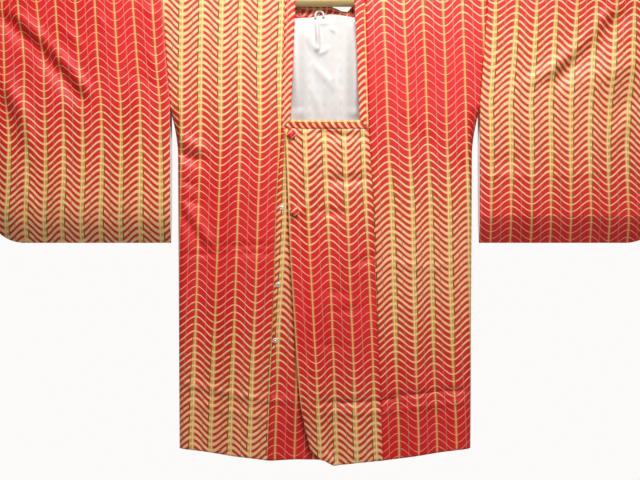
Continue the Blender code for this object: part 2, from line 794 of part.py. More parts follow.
def build_coat():
    """Make every piece of the coat and its hanger."""
    clear_scene()
    neck_x = NECK_BOTTOM_X - 2 * SEAM
    corner_x = along(FRONT_SEAM, PANEL_TOP_D) - 2 * SEAM
    overlap_x = OVERLAP_EDGE[0][1]
    make_bar()
    make_hook()
    for name, side in (("right", -1), ("left", 1)):
        make_body(f"body_{name}", side)
        make_sleeve(f"sleeve_{name}", side)
        make_gusset(f"gusset_{name}", side)
    make_underlap()
    make_overlap()
    make_neckband()
    make_panel_band("panel_band_right", -neck_x, -corner_x, UNDERLAP_EDGE[0][1],
                    UNDERLAP_EDGE[0][1], lapped=False)
    make_panel_band("panel_band_left", -neck_x, overlap_x, neck_x, corner_x, lapped=True)
    make_lining()
    make_loop()
    make_buttons()
    make_snaps()


build_coat()
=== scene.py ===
import math

import bpy
import numpy as np
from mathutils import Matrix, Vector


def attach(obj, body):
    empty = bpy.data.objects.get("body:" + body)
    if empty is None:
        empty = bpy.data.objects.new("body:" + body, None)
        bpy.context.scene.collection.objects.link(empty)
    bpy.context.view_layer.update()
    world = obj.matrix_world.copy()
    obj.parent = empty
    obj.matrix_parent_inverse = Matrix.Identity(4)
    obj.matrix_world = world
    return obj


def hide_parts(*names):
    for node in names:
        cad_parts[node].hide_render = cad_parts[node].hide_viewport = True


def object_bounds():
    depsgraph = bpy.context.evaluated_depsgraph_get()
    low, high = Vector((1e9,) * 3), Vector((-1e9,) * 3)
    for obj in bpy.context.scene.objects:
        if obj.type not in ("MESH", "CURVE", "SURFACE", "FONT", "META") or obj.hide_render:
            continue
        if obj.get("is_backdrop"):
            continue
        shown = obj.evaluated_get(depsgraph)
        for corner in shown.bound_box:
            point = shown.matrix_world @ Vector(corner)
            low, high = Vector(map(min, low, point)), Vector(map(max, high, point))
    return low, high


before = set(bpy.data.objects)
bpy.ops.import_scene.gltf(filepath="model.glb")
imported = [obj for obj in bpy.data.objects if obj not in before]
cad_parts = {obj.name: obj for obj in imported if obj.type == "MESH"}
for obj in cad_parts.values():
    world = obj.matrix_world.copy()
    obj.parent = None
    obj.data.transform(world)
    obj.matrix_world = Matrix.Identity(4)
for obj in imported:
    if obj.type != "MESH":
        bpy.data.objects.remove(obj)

cad_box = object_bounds()

# Hanger bar: a plain round rod with gold-tan lacquer. The shoulder fold of the coat lies on it,
# and it shows only across the neck and, on the underside, between the cloth of the sleeves.
BAR_Z = -0.060
BAR_RISE = 0.0010
BAR_R = 0.0112
BAR_HALF = 0.640
BAR_END_ROUND = 0.003


def joined(*parts):
    """Points from their x, y and z."""
    return np.stack(np.broadcast_arrays(*parts), axis=-1)


def grid_piece(name, points, finish, tube=False, flip=False, maps=None):
    """A mesh over a grid of points with rows and columns: each four neighbours make one face.

    tube joins the last column to the first and closes the first and last row with one face
    each. flip turns the faces round. maps gives named pairs of numbers for each point.
    """
    rows, columns = points.shape[:2]
    number = np.arange(rows * columns).reshape(rows, columns)
    ends = [number[0, ::-1].tolist(), number[-1].tolist()] if tube else []
    if tube:
        number = np.hstack([number, number[:, :1]])
    corners = (number[:-1, :-1], number[:-1, 1:], number[1:, 1:], number[1:, :-1])
    faces = np.stack([corner.ravel() for corner in corners], axis=1).tolist() + ends
    if flip:
        faces = [face[::-1] for face in faces]
    mesh = bpy.data.meshes.new(name)
    mesh.from_pydata(points.reshape(-1, 3).tolist(), [], faces)
    mesh.update()
    mesh.shade_smooth()
    corner_points = np.zeros(len(mesh.loops), np.int32)
    mesh.loops.foreach_get("vertex_index", corner_points)
    for title, pair in (maps or {}).items():
        flat = np.stack([np.broadcast_to(part, (rows, columns)).ravel() for part in pair], axis=1)
        layer = mesh.uv_layers.new(name=title)
        layer.data.foreach_set("uv", flat[corner_points].astype(np.float32).ravel())
    piece = bpy.data.objects.new(name, mesh)
    bpy.context.collection.objects.link(piece)
    for one in finish if isinstance(finish, list) else [finish]:
        mesh.materials.append(one)
    return piece


def pipe(path, radii, sides):
    """Circles of the given radii along a path that lies about in a plane across Y.

    At each point of the path the circle's first axis is Y and its second is the cross product of
    the path's direction with Y.
    """
    direction = np.gradient(path, axis=0)
    direction /= np.linalg.norm(direction, axis=1)[:, None]
    first = np.broadcast_to(np.array([0.0, 1.0, 0.0]), direction.shape)
    second = np.cross(direction, first)
    second /= np.linalg.norm(second, axis=1)[:, None]
    angle = np.linspace(0, 2 * np.pi, sides, endpoint=False)[None, :, None]
    ring = np.cos(angle) * first[:, None] + np.sin(angle) * second[:, None]
    return path[:, None] + radii[:, None, None] * ring


class Number:
    """A number, vector or colour in a tree of nodes; arithmetic with it adds Math nodes."""

    def __init__(self, nodes, socket):
        self.nodes, self.socket = nodes, socket

    def __add__(self, other):
        return self.nodes.sum("ADD", self, other)

    def __sub__(self, other):
        return self.nodes.sum("SUBTRACT", self, other)

    def __rsub__(self, other):
        return self.nodes.sum("SUBTRACT", other, self)

    def __mul__(self, other):
        return self.nodes.sum("MULTIPLY", self, other)

    def __abs__(self):
        return self.nodes.sum("ABSOLUTE", self)

    def __round__(self):
        return self.nodes.sum("ROUND", self)


class Nodes:
    """A tree of nodes, with short ways to add sums, steps, mixes and noise."""

    def __init__(self, tree):
        self.tree = tree

    def node(self, kind, *values, **settings):
        """A node of that kind with its settings and its first inputs."""
        made = self.tree.nodes.new(kind)
        for key, value in settings.items():
            setattr(made, key, value)
        for socket, value in zip(made.inputs, values):
            self.feed(socket, value)
        return made

    def feed(self, socket, value):
        """Link a number of the tree to a socket, or set the socket to a plain value."""
        if isinstance(value, Number):
            self.tree.links.new(value.socket, socket)
        else:
            socket.default_value = value

    def output(self, title, kind, *values, **settings):
        """One output of a new node."""
        return Number(self, self.node(kind, *values, **settings).outputs[title])

    def sum(self, operation, *values):
        """One Math node's result."""
        return self.output(0, "ShaderNodeMath", *values, operation=operation)

    def edge(self, value, start, end, low=0.0, high=1.0):
        """Goes smoothly from low to high while value goes from start to end."""
        return self.output(0, "ShaderNodeMapRange", value, start, end, low, high,
                           interpolation_type="SMOOTHSTEP")

    def mix(self, share, under, over):
        """Colour under the given share of colour over."""
        made = self.node("ShaderNodeMix", share, data_type="RGBA")
        self.feed(made.inputs[6], under)
        self.feed(made.inputs[7], over)
        return Number(self, made.outputs[2])

    def parts(self, vector):
        """The three numbers of a vector."""
        return [Number(self, one) for one in self.node("ShaderNodeSeparateXYZ", vector).outputs]

    def map(self, name):
        """The two numbers of a mesh's map."""
        return self.parts(self.output(0, "ShaderNodeUVMap", uv_map=name))[:2]

    def place(self, scale=(1.0, 1.0, 1.0)):
        """Object coordinates, scaled."""
        mapping = self.node("ShaderNodeMapping", self.output("Object", "ShaderNodeTexCoord"))
        mapping.inputs["Scale"].default_value = scale
        return Number(self, mapping.outputs[0])

    def noise(self, place, scale, detail=2.0):
        """Noise from 0 to 1 at that scale."""
        made = self.node("ShaderNodeTexNoise", place)
        made.inputs["Scale"].default_value = scale
        made.inputs["Detail"].default_value = detail
        made.inputs["Roughness"].default_value = 0.5
        return Number(self, made.outputs["Fac"])


class Finish(Nodes):
    """A material under construction: the nodes in front of its shader."""

    def __init__(self, name, roughness, specular, sheen=0.0, coat=0.0, metallic=0.0):
        self.material = bpy.data.materials.new(name)
        self.material.use_nodes = True
        super().__init__(self.material.node_tree)
        self.shader = self.tree.nodes["Principled BSDF"]
        self.shader.inputs["Roughness"].default_value = roughness
        self.shader.inputs["Specular IOR Level"].default_value = specular
        self.shader.inputs["Sheen Weight"].default_value = sheen
        self.shader.inputs["Coat Weight"].default_value = coat
        self.shader.inputs["Metallic"].default_value = metallic

    def bump(self, height, strength, distance):
        """Raise the surface by a height map."""
        made = self.node("ShaderNodeBump")
        made.inputs["Strength"].default_value = strength
        made.inputs["Distance"].default_value = distance
        self.feed(made.inputs["Height"], height)
        self.feed(self.shader.inputs["Normal"], Number(self, made.outputs[0]))

    def colour(self, value):
        """Set the base colour."""
        self.feed(self.shader.inputs["Base Color"], value)


def bar_lacquer():
    """Gold-tan lacquer with faint streaks along the rod and small scuffs."""
    lacquer = Finish("bar_lacquer", 0.38, 0.5, coat=0.25, metallic=0.15)
    streaks = lacquer.noise(lacquer.place((3.0, 60.0, 60.0)), 3.0, 3.0)
    scuffs = lacquer.noise(lacquer.place(), 220.0)
    streaked = lacquer.edge(streaks, 0.35, 0.7)
    tan = lacquer.mix(streaked, (0.50, 0.36, 0.15, 1), (0.36, 0.25, 0.09, 1))
    scuffed = lacquer.edge(scuffs, 0.62, 0.75, 0.0, 0.35)
    lacquer.colour(lacquer.mix(scuffed, tan, (0.60, 0.50, 0.27, 1)))
    lacquer.bump(streaks + scuffs * 0.4, 0.12, 0.0004)
    return lacquer.material


end_turn = np.radians([0, 25, 50, 70, 90])
end_x = BAR_HALF - BAR_END_ROUND + BAR_END_ROUND * np.sin(end_turn)
end_r = BAR_R - BAR_END_ROUND + BAR_END_ROUND * np.cos(end_turn)
stations = np.concatenate([-end_x[::-1], np.linspace(-0.6, 0.6, 25), end_x])
radii = np.concatenate([end_r[::-1], np.full(25, BAR_R), end_r])
bar_path = joined(stations, 0.0, BAR_Z + BAR_RISE)
bar = grid_piece("coat_bar", pipe(bar_path, radii, 64), bar_lacquer(), tube=True)
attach(bar, "root")
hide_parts("hanger_bar")

# Hook: plain steel wire, bent to three quarters of a circle over a short stem that is driven
# into the middle of the bar.
WIRE_R = 0.0025
HOOK_INNER_R = 0.018
HOOK_STEM = (
    # x, z
    (0.0, -0.0597), (0.0, -0.0540), (0.0, -0.0480), (0.0, -0.0452), (0.0009, -0.0418),
    (0.0040, -0.0394),
)


def hook_steel():
    """Drawn steel wire: fine lines along it and small dull spots."""
    steel = Finish("hook_steel", 0.28, 0.5, metallic=1.0)
    spots = steel.noise(steel.place(), 500.0, 3.0)
    dull = steel.edge(spots, 0.5, 0.8)
    steel.colour(steel.mix(dull, (0.60, 0.60, 0.62, 1), (0.42, 0.41, 0.41, 1)))
    steel.feed(steel.shader.inputs["Roughness"], steel.edge(spots, 0.3, 0.8, 0.22, 0.42))
    steel.bump(spots, 0.1, 0.0001)
    return steel.material


turn = np.radians(np.linspace(-65, 205, 55))
arc_r = HOOK_INNER_R + WIRE_R
arc = np.stack([arc_r * np.cos(turn), -HOOK_INNER_R + arc_r * np.sin(turn)], axis=1)
flat_path = np.vstack([np.array(HOOK_STEM), arc])
wire_path = joined(flat_path[:, 0], 0.0, flat_path[:, 1])
tip_run = wire_path[-1] - wire_path[-2]
tip_run /= np.linalg.norm(tip_run)
tip = np.array([0.35, 0.7, 0.92, 1.0]) * WIRE_R
wire_path = np.vstack([wire_path, wire_path[-1] + tip[:, None] * tip_run])
tip_radii = np.sqrt(WIRE_R ** 2 - tip ** 2 * 0.99)
wire_radii = np.concatenate([np.full(len(wire_path) - 4, WIRE_R), tip_radii])
hook = grid_piece("coat_hook", pipe(wire_path, wire_radii, 20), hook_steel(), tube=True)
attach(hook, "root")
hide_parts("hanger_hook")

# Body: two straight strips of figured red silk crepe, each from the front hem over the shoulder
# to the back hem, sewn to each other down the centre back. The silk is woven in red with cream
# waves that swell and thin along the cloth, crossed by gold lines.
CLOTH = 0.0018
PANEL = 0.0015
# SEAM is the gap between layers, and SEAM_GAP is left on each side of a seam.
SEAM = 0.0003
SEAM_GAP = 0.00004
FOLD_R = 0.0134
QUARTER = FOLD_R * math.pi / 2
ARMPIT_D = 0.204
TURN_END_D = 0.300
HEM_D = 0.8512
NECK_BOTTOM_D = 0.2284
PANEL_TOP_D = 0.2449
SIDE_TOP_X = 0.2800
SIDE_HEM_X = 0.2755
HEM_HALF_DEPTH = 0.029
SIDE_R = 0.010
SIDES = (("right", -1), ("left", 1))
LINE_GAP = 0.037
SIDE_TURN_EASE = 0.7
# depth below the bar, and half width of a strip or x of a seam or edge there
STRIP_HALF = ((0.0000, 0.3107), (0.2040, 0.2945), (0.3000, 0.2872), (0.8512, 0.2925))
FRONT_SEAM = ((0.0000, 0.0765), (0.2449, 0.0830), (0.3810, 0.0922), (0.4950, 0.0950),
              (0.7360, 0.1052), (0.8750, 0.1103))
# x, depth of the hem
FRONT_HEM = ((0.0000, 0.8755), (0.1070, 0.8744), (0.2755, 0.8512))
NECK_CURVE = 2.6
NECK_CURVE_START_V = QUARTER / 2
NECK_END_V = QUARTER + 0.031
ROLL_IN = 0.015
# The tables of waves, creases, lines, counts and swell hold lengths in whole tenths of a
# millimetre, and counts in hundredths of a wave.
BODY_WAVES = (
    # face, x, half width, height at the hem
    (-1, -2250, 300, -40), (-1, -1700, 280, 45), (-1, 1650, 300, 40), (-1, 2220, 260, -38),
    (-1, 200, 300, 12), (1, -1900, 320, 45), (1, -1100, 300, -40), (1, 1050, 300, 42),
    (1, 1850, 320, -42),
)
BODY_CREASES = (
    # face, height, half width, then x and depth of each point of a chain
    (-1, 56, 46, -2736, 7268, -2261, 7362, -1739, 7477, -1311, 7571, -551, 7619),
    (-1, 37, 42, -2736, 7648, -2213, 7723, -1643, 7837, -1074, 7933),
    (-1, -68, 42, -133, 7648, 1045, 7629, 1444, 7514, 2147, 7439, 2717, 7400),
    (-1, 43, 42, -57, 7837, 969, 7837, 1672, 7742, 2299, 7676, 2717, 7610),
    (-1, -85, 95, -2869, 2859, -2641, 2993, -2337, 3069),
    (-1, 50, 100, -2831, 2631, -2565, 2727, -2261, 2859), (-1, -42, 60, -2755, 3429, -2432, 3543),
    (-1, -32, 50, -2774, 3790, -2318, 3886), (-1, 58, 90, -2679, 3886, -2394, 4284, -2147, 4664),
    (-1, -30, 100, -2793, 3999, -2508, 4399, -2261, 4778), (-1, -34, 45, -2375, 4674, -798, 4674),
    (-1, -30, 48, -2736, 4854, -1805, 4817, -798, 4835), (-1, -100, 90, -133, 2515, 361, 2600),
    (-1, -36, 65, 361, 2575, 855, 2612), (-1, -28, 60, -684, 2422, -247, 2422),
    (-1, 40, 70, -66, 2907, -466, 3382), (-1, 38, 70, -104, 3344, -314, 3857, -589, 4142),
    (-1, -70, 90, 57, 3411, 380, 3448, 779, 3392), (-1, -46, 70, -133, 4037, 399, 4076),
    (-1, -42, 55, 532, 5026, 969, 4874), (-1, -22, 40, -741, 4493, -133, 4570),
    (-1, -26, 60, -57, 5520, 513, 5595), (-1, -28, 62, 95, 5938, 779, 5861),
    (-1, -26, 60, -171, 6545, 437, 6622), (-1, 28, 70, 1197, 4988, 1995, 5101, 2413, 4988),
    (-1, -46, 110, 2413, 2859, 2679, 3392), (-1, -24, 120, 1501, 2308, 2204, 2898),
    (-1, 22, 60, -475, 6887, -133, 7077), (1, 67, 57, -2400, 7350, -900, 7480),
    (1, 58, 55, -700, 7500, 800, 7430), (1, 70, 57, 1000, 7420, 2500, 7350),
    (1, -48, 88, -2200, 7560, -700, 7660), (1, -54, 88, 700, 7620, 2300, 7540),
    (1, 54, 64, -2300, 4700, -1000, 4620), (1, 51, 64, 600, 4550, 2300, 4720),
    (1, -43, 77, -1800, 4880, -900, 4840), (1, -61, 121, -1500, 1500, -600, 2300),
    (1, -67, 132, 1700, 1300, 700, 2400), (1, 43, 77, -300, 3200, 500, 3350),
    (1, -74, 121, 2650, 3100, 2100, 3500), (1, -78, 121, -2650, 3300, -2150, 3600),
    (1, 43, 77, 1200, 6100, 2300, 6000),
)


def ease(t):
    """3t² - 2t³ of t held between 0 and 1: level at both ends."""
    t = np.clip(t, 0.0, 1.0)
    return t * t * (3 - 2 * t)


def reading(table, key):
    """A two-column table's value at key, straight between its rows and level past its ends."""
    keys, values = np.array(table, float).T
    return np.interp(key, keys, values)


def half_depth(d):
    """Half the distance between front and back: grows evenly from the bar to the hem."""
    return FOLD_R + (HEM_HALF_DEPTH - FOLD_R) * np.maximum(d, 0.0) / HEM_D


def ripple(x, d):
    """Faint unevenness: a sine of 41x + 11d, 0.1 mm high on the bar and 0.3 mm from the armpit."""
    return (0.0001 + 0.0002 * ease(d / ARMPIT_D)) * np.sin(41 * x + 11 * d)


def bells(chains, x, d, face):
    """For each straight part of each chain: where it starts, the share along it, and its rise.

    The rise is the chain's height times exp(-(distance / half width)²) on the chain's face.
    """
    for chain_face, height, width, *points in chains:
        points = np.array(points).reshape(-1, 2) / 10000
        height, width = height / 10000, width / 10000
        for (x0, d0), (x1, d1) in zip(points, points[1:]):
            run_x, run_d = x1 - x0, d1 - d0
            share = ((x - x0) * run_x + (d - d0) * run_d) / (run_x ** 2 + run_d ** 2)
            share = np.clip(share, 0, 1)
            away = np.hypot(x - x0 - share * run_x, d - d0 - share * run_d)
            rise = np.where(face == chain_face, height * np.exp(-(away / width) ** 2), 0.0)
            yield x0, share, rise


def creases(chains, x, d, face):
    """Sum of a table's creases: each part thins to both ends, and all fade on the bar."""
    total = np.zeros(np.broadcast(x, d).shape)
    for _, share, rise in bells(chains, x, d, face):
        total += rise * (0.35 + 0.65 * np.sin(np.pi * np.clip(share, 0.05, 0.95)))
    return total * ease(d / 0.03)


def side_x(d):
    """Half width of the hanging body at its side."""
    share = np.clip((d - ARMPIT_D) / (HEM_D - ARMPIT_D), 0, 1)
    return SIDE_TOP_X + (SIDE_HEM_X - SIDE_TOP_X) * share


def roll(x, d):
    """How far the overlap's lower corner has rolled inwards.

    ROLL_IN times three smooth steps: down from depth 0.74, and across from x = -0.100 to -0.050
    and back from -0.025 to 0.045.
    """
    rise = ease((x + 0.100) / 0.050)
    fall = ease((0.045 - x) / 0.070)
    return ROLL_IN * ease((d - 0.740) / 0.140) * rise * fall


def body_waves(x, d, face):
    """Lengthwise waves of the hung cloth: bells across x that grow down from depth 0.10."""
    total = np.zeros(np.broadcast(x, d).shape)
    for wave_face, *row in BODY_WAVES:
        centre, width, height = np.array(row) / 10000
        total += np.where(face == wave_face, height * np.exp(-((x - centre) / width) ** 2), 0.0)
    calm_side = ease((side_x(d) - SIDE_R - abs(x)) / 0.03)
    calm_back = np.where(face > 0, ease(abs(x) / 0.05), 1.0)
    return total * ease((d - 0.10) / 0.55) * calm_side * calm_back


def side_turn(d):
    """The angle by which the cloth has turned inwards past the side: none at the armpit."""
    share = np.clip((d - ARMPIT_D) / (TURN_END_D - ARMPIT_D), 0, 1)
    return math.pi / 2 * share ** SIDE_TURN_EASE


def over_bar(x, v, radius, below):
    """Points below, but on the bar a circle of that radius at the angle v / FOLD_R."""
    angle = v / FOLD_R
    above = joined(x, radius * np.sin(angle), BAR_Z + radius * np.cos(angle))
    return np.where((abs(v) < QUARTER)[..., None], above, below)


def hung(x, v, out=0.0):
    """Fold flat body cloth into place: v is the length from the shoulder, negative in front.

    On the bar: a circle of radius FOLD_R at the angle v / FOLD_R. Below it: straight down, at
    half_depth plus ripple, waves and creases, and past the side an arc of SIDE_R and then a
    straight run inwards. out moves the cloth outwards.
    """
    x, v, out = np.broadcast_arrays(x, v, out)
    d = np.maximum(abs(v) - QUARTER, 0.0)
    face = np.where(v < 0, -1, 1)
    calm_edge = ease((side_x(d) + 0.006 - abs(x)) / 0.02)
    level = half_depth(d) + ripple(x, d) + body_waves(x, d, face) + out
    level = level + creases(BODY_CREASES, x, d, face) * calm_edge
    level = level - np.where(face < 0, roll(x, d), 0.0)
    start = side_x(d) - SIDE_R
    beyond = (abs(x) > start) & (d > ARMPIT_D)
    turned = side_turn(d)
    bend = np.minimum(np.maximum(abs(x) - start, 0) / SIDE_R, turned)
    rest = np.maximum(abs(x) - start - SIDE_R * turned, 0.0)
    inward = np.where(beyond, SIDE_R * (1 - np.cos(bend)) + rest * np.sin(turned), 0.0)
    across = np.where(beyond, start + SIDE_R * np.sin(bend) + rest * np.cos(turned), abs(x))
    below = joined(np.copysign(across, x), face * (level - inward), BAR_Z - d)
    return over_bar(x, v, FOLD_R + ripple(x, 0.0) + out, below)


def front_length(row, x, hem=FRONT_HEM):
    """Pattern length of a front row: rows below the side turn share out the sloping hem."""
    share = np.maximum(row - TURN_END_D, 0.0) / (HEM_D - TURN_END_D)
    return -(QUARTER + np.minimum(row, TURN_END_D) + share * (reading(hem, x) - TURN_END_D))


def neckline_x(v):
    """Half width of the neck hole: straight in front, a superellipse of power 2.6 behind."""
    share = np.clip((v - NECK_CURVE_START_V) / (NECK_END_V - NECK_CURVE_START_V), 0, 1)
    behind = FRONT_SEAM[0][1] * (1 - share ** NECK_CURVE) ** (1 / NECK_CURVE)
    return np.where(v <= 0, reading(FRONT_SEAM, np.maximum(-v - QUARTER, 0)), behind)


def pattern(x, v, lines, crest, dark, counts, swell):
    """Where each point of flat cloth lies in the woven pattern.

    The first map holds the place between gold lines (0 on a line whose waves point up, 1 on the
    next, growing towards the dark side of the lines) and the count of waves along the cloth. The
    second holds how thick the waves are and how broad the gold lines are, each from 0 to 1.
    lines gives the places of the gold lines across the cloth at a few lengths, crest the number
    of a line whose waves point up, dark 1 or -1 as the lines' dark side faces +X or -X, counts
    the count of waves on the first and last line, and swell the turns of the thickness.
    """
    lines, counts = np.array(lines) / 10000, np.array(counts) / (10000, 100, 100)
    x, v = np.broadcast_arrays(x, v)
    at = [np.interp(v, lines[:, 0], places) for places in lines.T[1:]]
    shares = [(x - low) / (high - low) for low, high in zip(at, at[1:])]
    shares[1:] = [np.maximum(share, 0) for share in shares[1:]]
    shares[:-1] = [np.minimum(share, 1) for share in shares[:-1]]
    across = sum(shares)
    thick = (0.5 + 0.5 * np.cos(np.pi * reading(np.array(swell) / (10000, 1), v))) ** 1.25
    first, last = reading(counts[:, :2], v), reading(counts[:, ::2], v)
    count = first + (last - first) * across / len(shares)
    return {"weave": (dark * (across - crest), count), "swell": (thick, thick)}


def coat_silk():
    """Red silk crepe with cream waves between gold lines, from the maps weave and swell.

    A wave is where the count plus height times cos(pi times place) comes near a whole number,
    with the height 12 mm over a spacing of 15.4 mm, and of 12.3 mm where waves are thickest.
    Even waves pass over the thin mid line and the dark line beside each gold line, and odd waves
    stop there. Thick waves bring broad, pale gold lines, and thin ones narrow amber lines.
    The bottoms of the sleeves are darkened towards near black: painted shade.
    """
    silk = Finish("coat_silk", 0.50, 0.35, sheen=0.03)
    silk.shader.inputs["Sheen Roughness"].default_value = 0.4
    edge, mix = silk.edge, silk.mix
    place, count = silk.map("weave")
    swollen, thick = silk.map("swell")
    cloth_place = silk.place()
    uneven = silk.noise(cloth_place, 90.0) - 0.5
    gap_mm = LINE_GAP * 1000
    from_gold = (place - round(place)) * gap_mm + uneven * 0.9
    gold_away = abs(from_gold)
    mid_away = abs(gold_away - gap_mm / 2)
    height = silk.sum("DIVIDE", 12.0, swollen * -3.1 + 15.4)
    phase = height * silk.sum("COSINE", place * math.pi) + count + uneven * 0.10
    nearest = round(phase)
    half = swollen * 0.228 + 0.029
    wave = edge(abs(phase - nearest) - half, -0.03, 0.03, 1.0, 0.0)
    halved = nearest * 0.5
    odd = abs(halved - round(halved)) * 2.0
    under = 1.0 - wave * (1.0 - odd)

    cloudy = silk.noise(cloth_place, 14.0, 3.0)
    red = mix(edge(cloudy, 0.3, 0.7), (0.61, 0.0055, 0.007, 1), (0.69, 0.01, 0.015, 1))
    red = mix(thick * 0.85, red, (0.51, 0.029, 0.006, 1))
    cream = mix(edge(uneven, -0.2, 0.25), (0.80, 0.435, 0.205, 1), (0.89, 0.53, 0.285, 1))
    cream = mix(edge(swollen, 0.0, 0.6, 0.8, 0.0), cream, (1.00, 0.54, 0.34, 1))
    colour = mix(wave, red, cream)
    mid = edge(mid_away, 0.45, 1.05, 0.70, 0.0) * under
    colour = mix(mid, colour, mix(thick, (0.60, 0.20, 0.13, 1), (0.26, 0.12, 0.08, 1)))
    dark_at = edge(thick, 0.1, 0.8, 3.1, 7.0)
    dark_off = abs(from_gold - dark_at) - thick * 0.25
    shade = edge(dark_off, 0.60, 1.25, 0.94, 0.0) * under * edge(thick, 0.0, 0.7, 0.60, 1.0)
    block = edge(from_gold, 0.9, 1.5) * edge(from_gold - dark_at, -1.1, -0.6, 1.0, 0.0)
    block_colour = mix(wave, (0.60, 0.345, 0.07, 1), (0.87, 0.57, 0.24, 1))
    colour = mix(block * 0.92, colour, block_colour)
    colour = mix(shade, colour, mix(thick, (0.30, 0.075, 0.012, 1), (0.17, 0.066, 0.006, 1)))
    pale_side = edge(from_gold, -3.6, -2.9) * edge(from_gold, -1.6, -1.1, 1.0, 0.0)
    pale_side = pale_side * edge(thick, 0.0, 0.8, 0.25, 0.75)
    colour = mix(pale_side, colour, mix(wave, (0.50, 0.25, 0.09, 1), (0.86, 0.52, 0.26, 1)))
    flank = edge(gold_away, 1.7, 2.4, 0.9, 0.0) * edge(thick, 0.2, 0.9)
    colour = mix(flank, colour, mix(wave, (0.52, 0.32, 0.08, 1), (0.72, 0.43, 0.17, 1)))
    core_colour = mix(edge(thick, 0.15, 0.75), (0.84, 0.35, 0.12, 1), (0.88, 0.60, 0.20, 1))
    core_colour = mix(wave * 0.45, core_colour, (0.93, 0.64, 0.30, 1))
    core = edge(gold_away + thick * 0.15, 0.90, 1.50, 0.96, 0.0)
    colour = mix(core, colour, core_colour)
    x, _, z = silk.parts(cloth_place)
    # Painted shade: the bottom of the left sleeve, and of the right sleeve fading upwards, is mixed
    # towards near black.
    left_sleeve_painted_shade = edge(x, 0.283, 0.285) * edge(z, -0.4720, -0.4690, 0.26, 0.0)
    right_sleeve_painted_shade = edge(x, -0.285, -0.283, 1.0, 0.0) * edge(z, -0.5150, -0.4300, 0.30, 0.0)
    silk.colour(mix(left_sleeve_painted_shade + right_sleeve_painted_shade, colour, (0.02, 0.004, 0.002, 1)))

    crepe = silk.noise(silk.place((1.0, 1.0, 0.6)), 900.0)
    slub = silk.noise(silk.place((1.0, 1.0, 6.0)), 160.0)
    silk.bump(crepe + slub * 0.5 + silk.sum("MAXIMUM", wave, core) * 0.5, 0.22, 0.00035)
    silk.feed(silk.shader.inputs["Roughness"], edge(crepe, 0.2, 0.8, 0.44, 0.60))
    return silk.material


LOZENGE_WIDE = 0.015
LOZENGE_HIGH = 0.021
HEM_FACING_Z = -0.800
NECK_FACING_Z = -0.0925


def lining_silk(name, facing_height=-9.0, neck_height=9.0):
    """White figured satin: lozenges in fine relief, and the coat's own red on the turned edges.

    The turned edges are below facing_height and above neck_height. The lozenges are where cos of
    one diagonal times cos of the other is above a limit.
    """
    satin = Finish(name, 0.36, 0.45, sheen=0.10)
    x, _, z = satin.parts(satin.place())
    up, side = z * (1.0 / LOZENGE_HIGH), x * (1.0 / LOZENGE_WIDE)
    rising = satin.sum("COSINE", (side + up) * math.pi)
    falling = satin.sum("COSINE", (side - up) * math.pi)
    lozenge = satin.edge(rising * falling, 0.25, 0.45)
    fine = satin.noise(satin.place(), 1200.0)
    cloud = satin.noise(satin.place(), 30.0, 3.0)
    white = satin.mix(lozenge, (0.66, 0.635, 0.615, 1), (0.62, 0.595, 0.575, 1))
    white = satin.mix(satin.edge(cloud, 0.35, 0.75, 0.0, 0.5), white, (0.66, 0.59, 0.53, 1))
    facing = satin.edge(z, facing_height - 0.0008, facing_height + 0.0008, 1.0, 0.0)
    facing = satin.sum("MAXIMUM", facing, satin.edge(z, neck_height, neck_height + 0.001))
    satin.colour(satin.mix(facing, white, (0.56, 0.018, 0.026, 1)))
    satin.feed(satin.shader.inputs["Roughness"], satin.edge(lozenge, 0.0, 1.0, 0.30, 0.46))
    satin.bump(lozenge * 0.7 + fine * 0.3, 0.25, 0.0003)
    return satin.material


silk = coat_silk()
body_inside = lining_silk("body_inside_silk", HEM_FACING_Z, NECK_FACING_Z)
BODY_LINES = {
    # length, then the places of the lines across the cloth
    "right": (
        (-8694, -3269, -2889, -2512, -2157, -1780, -1413, -1044),
        (-8238, -3257, -2877, -2502, -2144, -1766, -1395, -1029),
        (-6870, -3215, -2835, -2468, -2099, -1725, -1353, -995),
        (-5502, -3167, -2787, -2428, -2057, -1688, -1304, -951),
        (-4134, -3131, -2751, -2400, -2013, -1648, -1266, -917),
        (-2766, -3097, -2723, -2363, -1971, -1600, -1220, -853),
        (-1398, -3091, -2724, -2352, -1970, -1602, -1233, -845),
        (-220, -3074, -2713, -2331, -1949, -1579, -1212, -806),
        (8720, -3168, -2797, -2407, -2028, -1650, -1271, -885),
    ),
    "left": (
        (-8694, 1402, 1771, 2122, 2492, 2860, 3231), (-8238, 1389, 1761, 2111, 2480, 2848, 3219),
        (-6870, 1331, 1706, 2049, 2412, 2780, 3151), (-5502, 1290, 1673, 2010, 2368, 2737, 3107),
        (-4134, 1254, 1651, 1990, 2349, 2718, 3088), (-2766, 1192, 1591, 1943, 2315, 2684, 3060),
        (-1398, 1156, 1547, 1906, 2286, 2654, 3037), (-220, 1104, 1490, 1854, 2240, 2609, 2997),
        (8720, 1168, 1565, 1942, 2331, 2700, 3088),
    ),
}
BODY_COUNTS = {
    # length, count on the first line, count on the last line
    "right": (
        (-9000, 6355, 6201), (-8713, 6125, 5971), (-7820, 5391, 5238), (-6908, 4659, 4520),
        (-5996, 3985, 3879), (-5084, 3363, 3282), (-4172, 2767, 2695), (-3260, 2145, 2079),
        (-2348, 1485, 1413), (-1436, 765, 696), (-524, 45, -29), (-220, -192, -265),
        (2000, -1840, -1840), (4500, -3520, -3520), (6500, -5080, -5080), (8720, -6800, -6800),
    ),
    "left": (
        (-8998, 6019, 6068), (-8713, 5819, 5868), (-7820, 5201, 5262), (-6908, 4533, 4621),
        (-5996, 3817, 3923), (-5084, 3081, 3171), (-4172, 2359, 2431), (-3260, 1697, 1758),
        (-2348, 1095, 1153), (-1436, 515, 576), (-524, -76, -11), (-220, -277, -211),
        (2000, -1930, -1930), (4500, -3590, -3590), (6500, -5030, -5030), (8720, -6710, -6710),
    ),
}
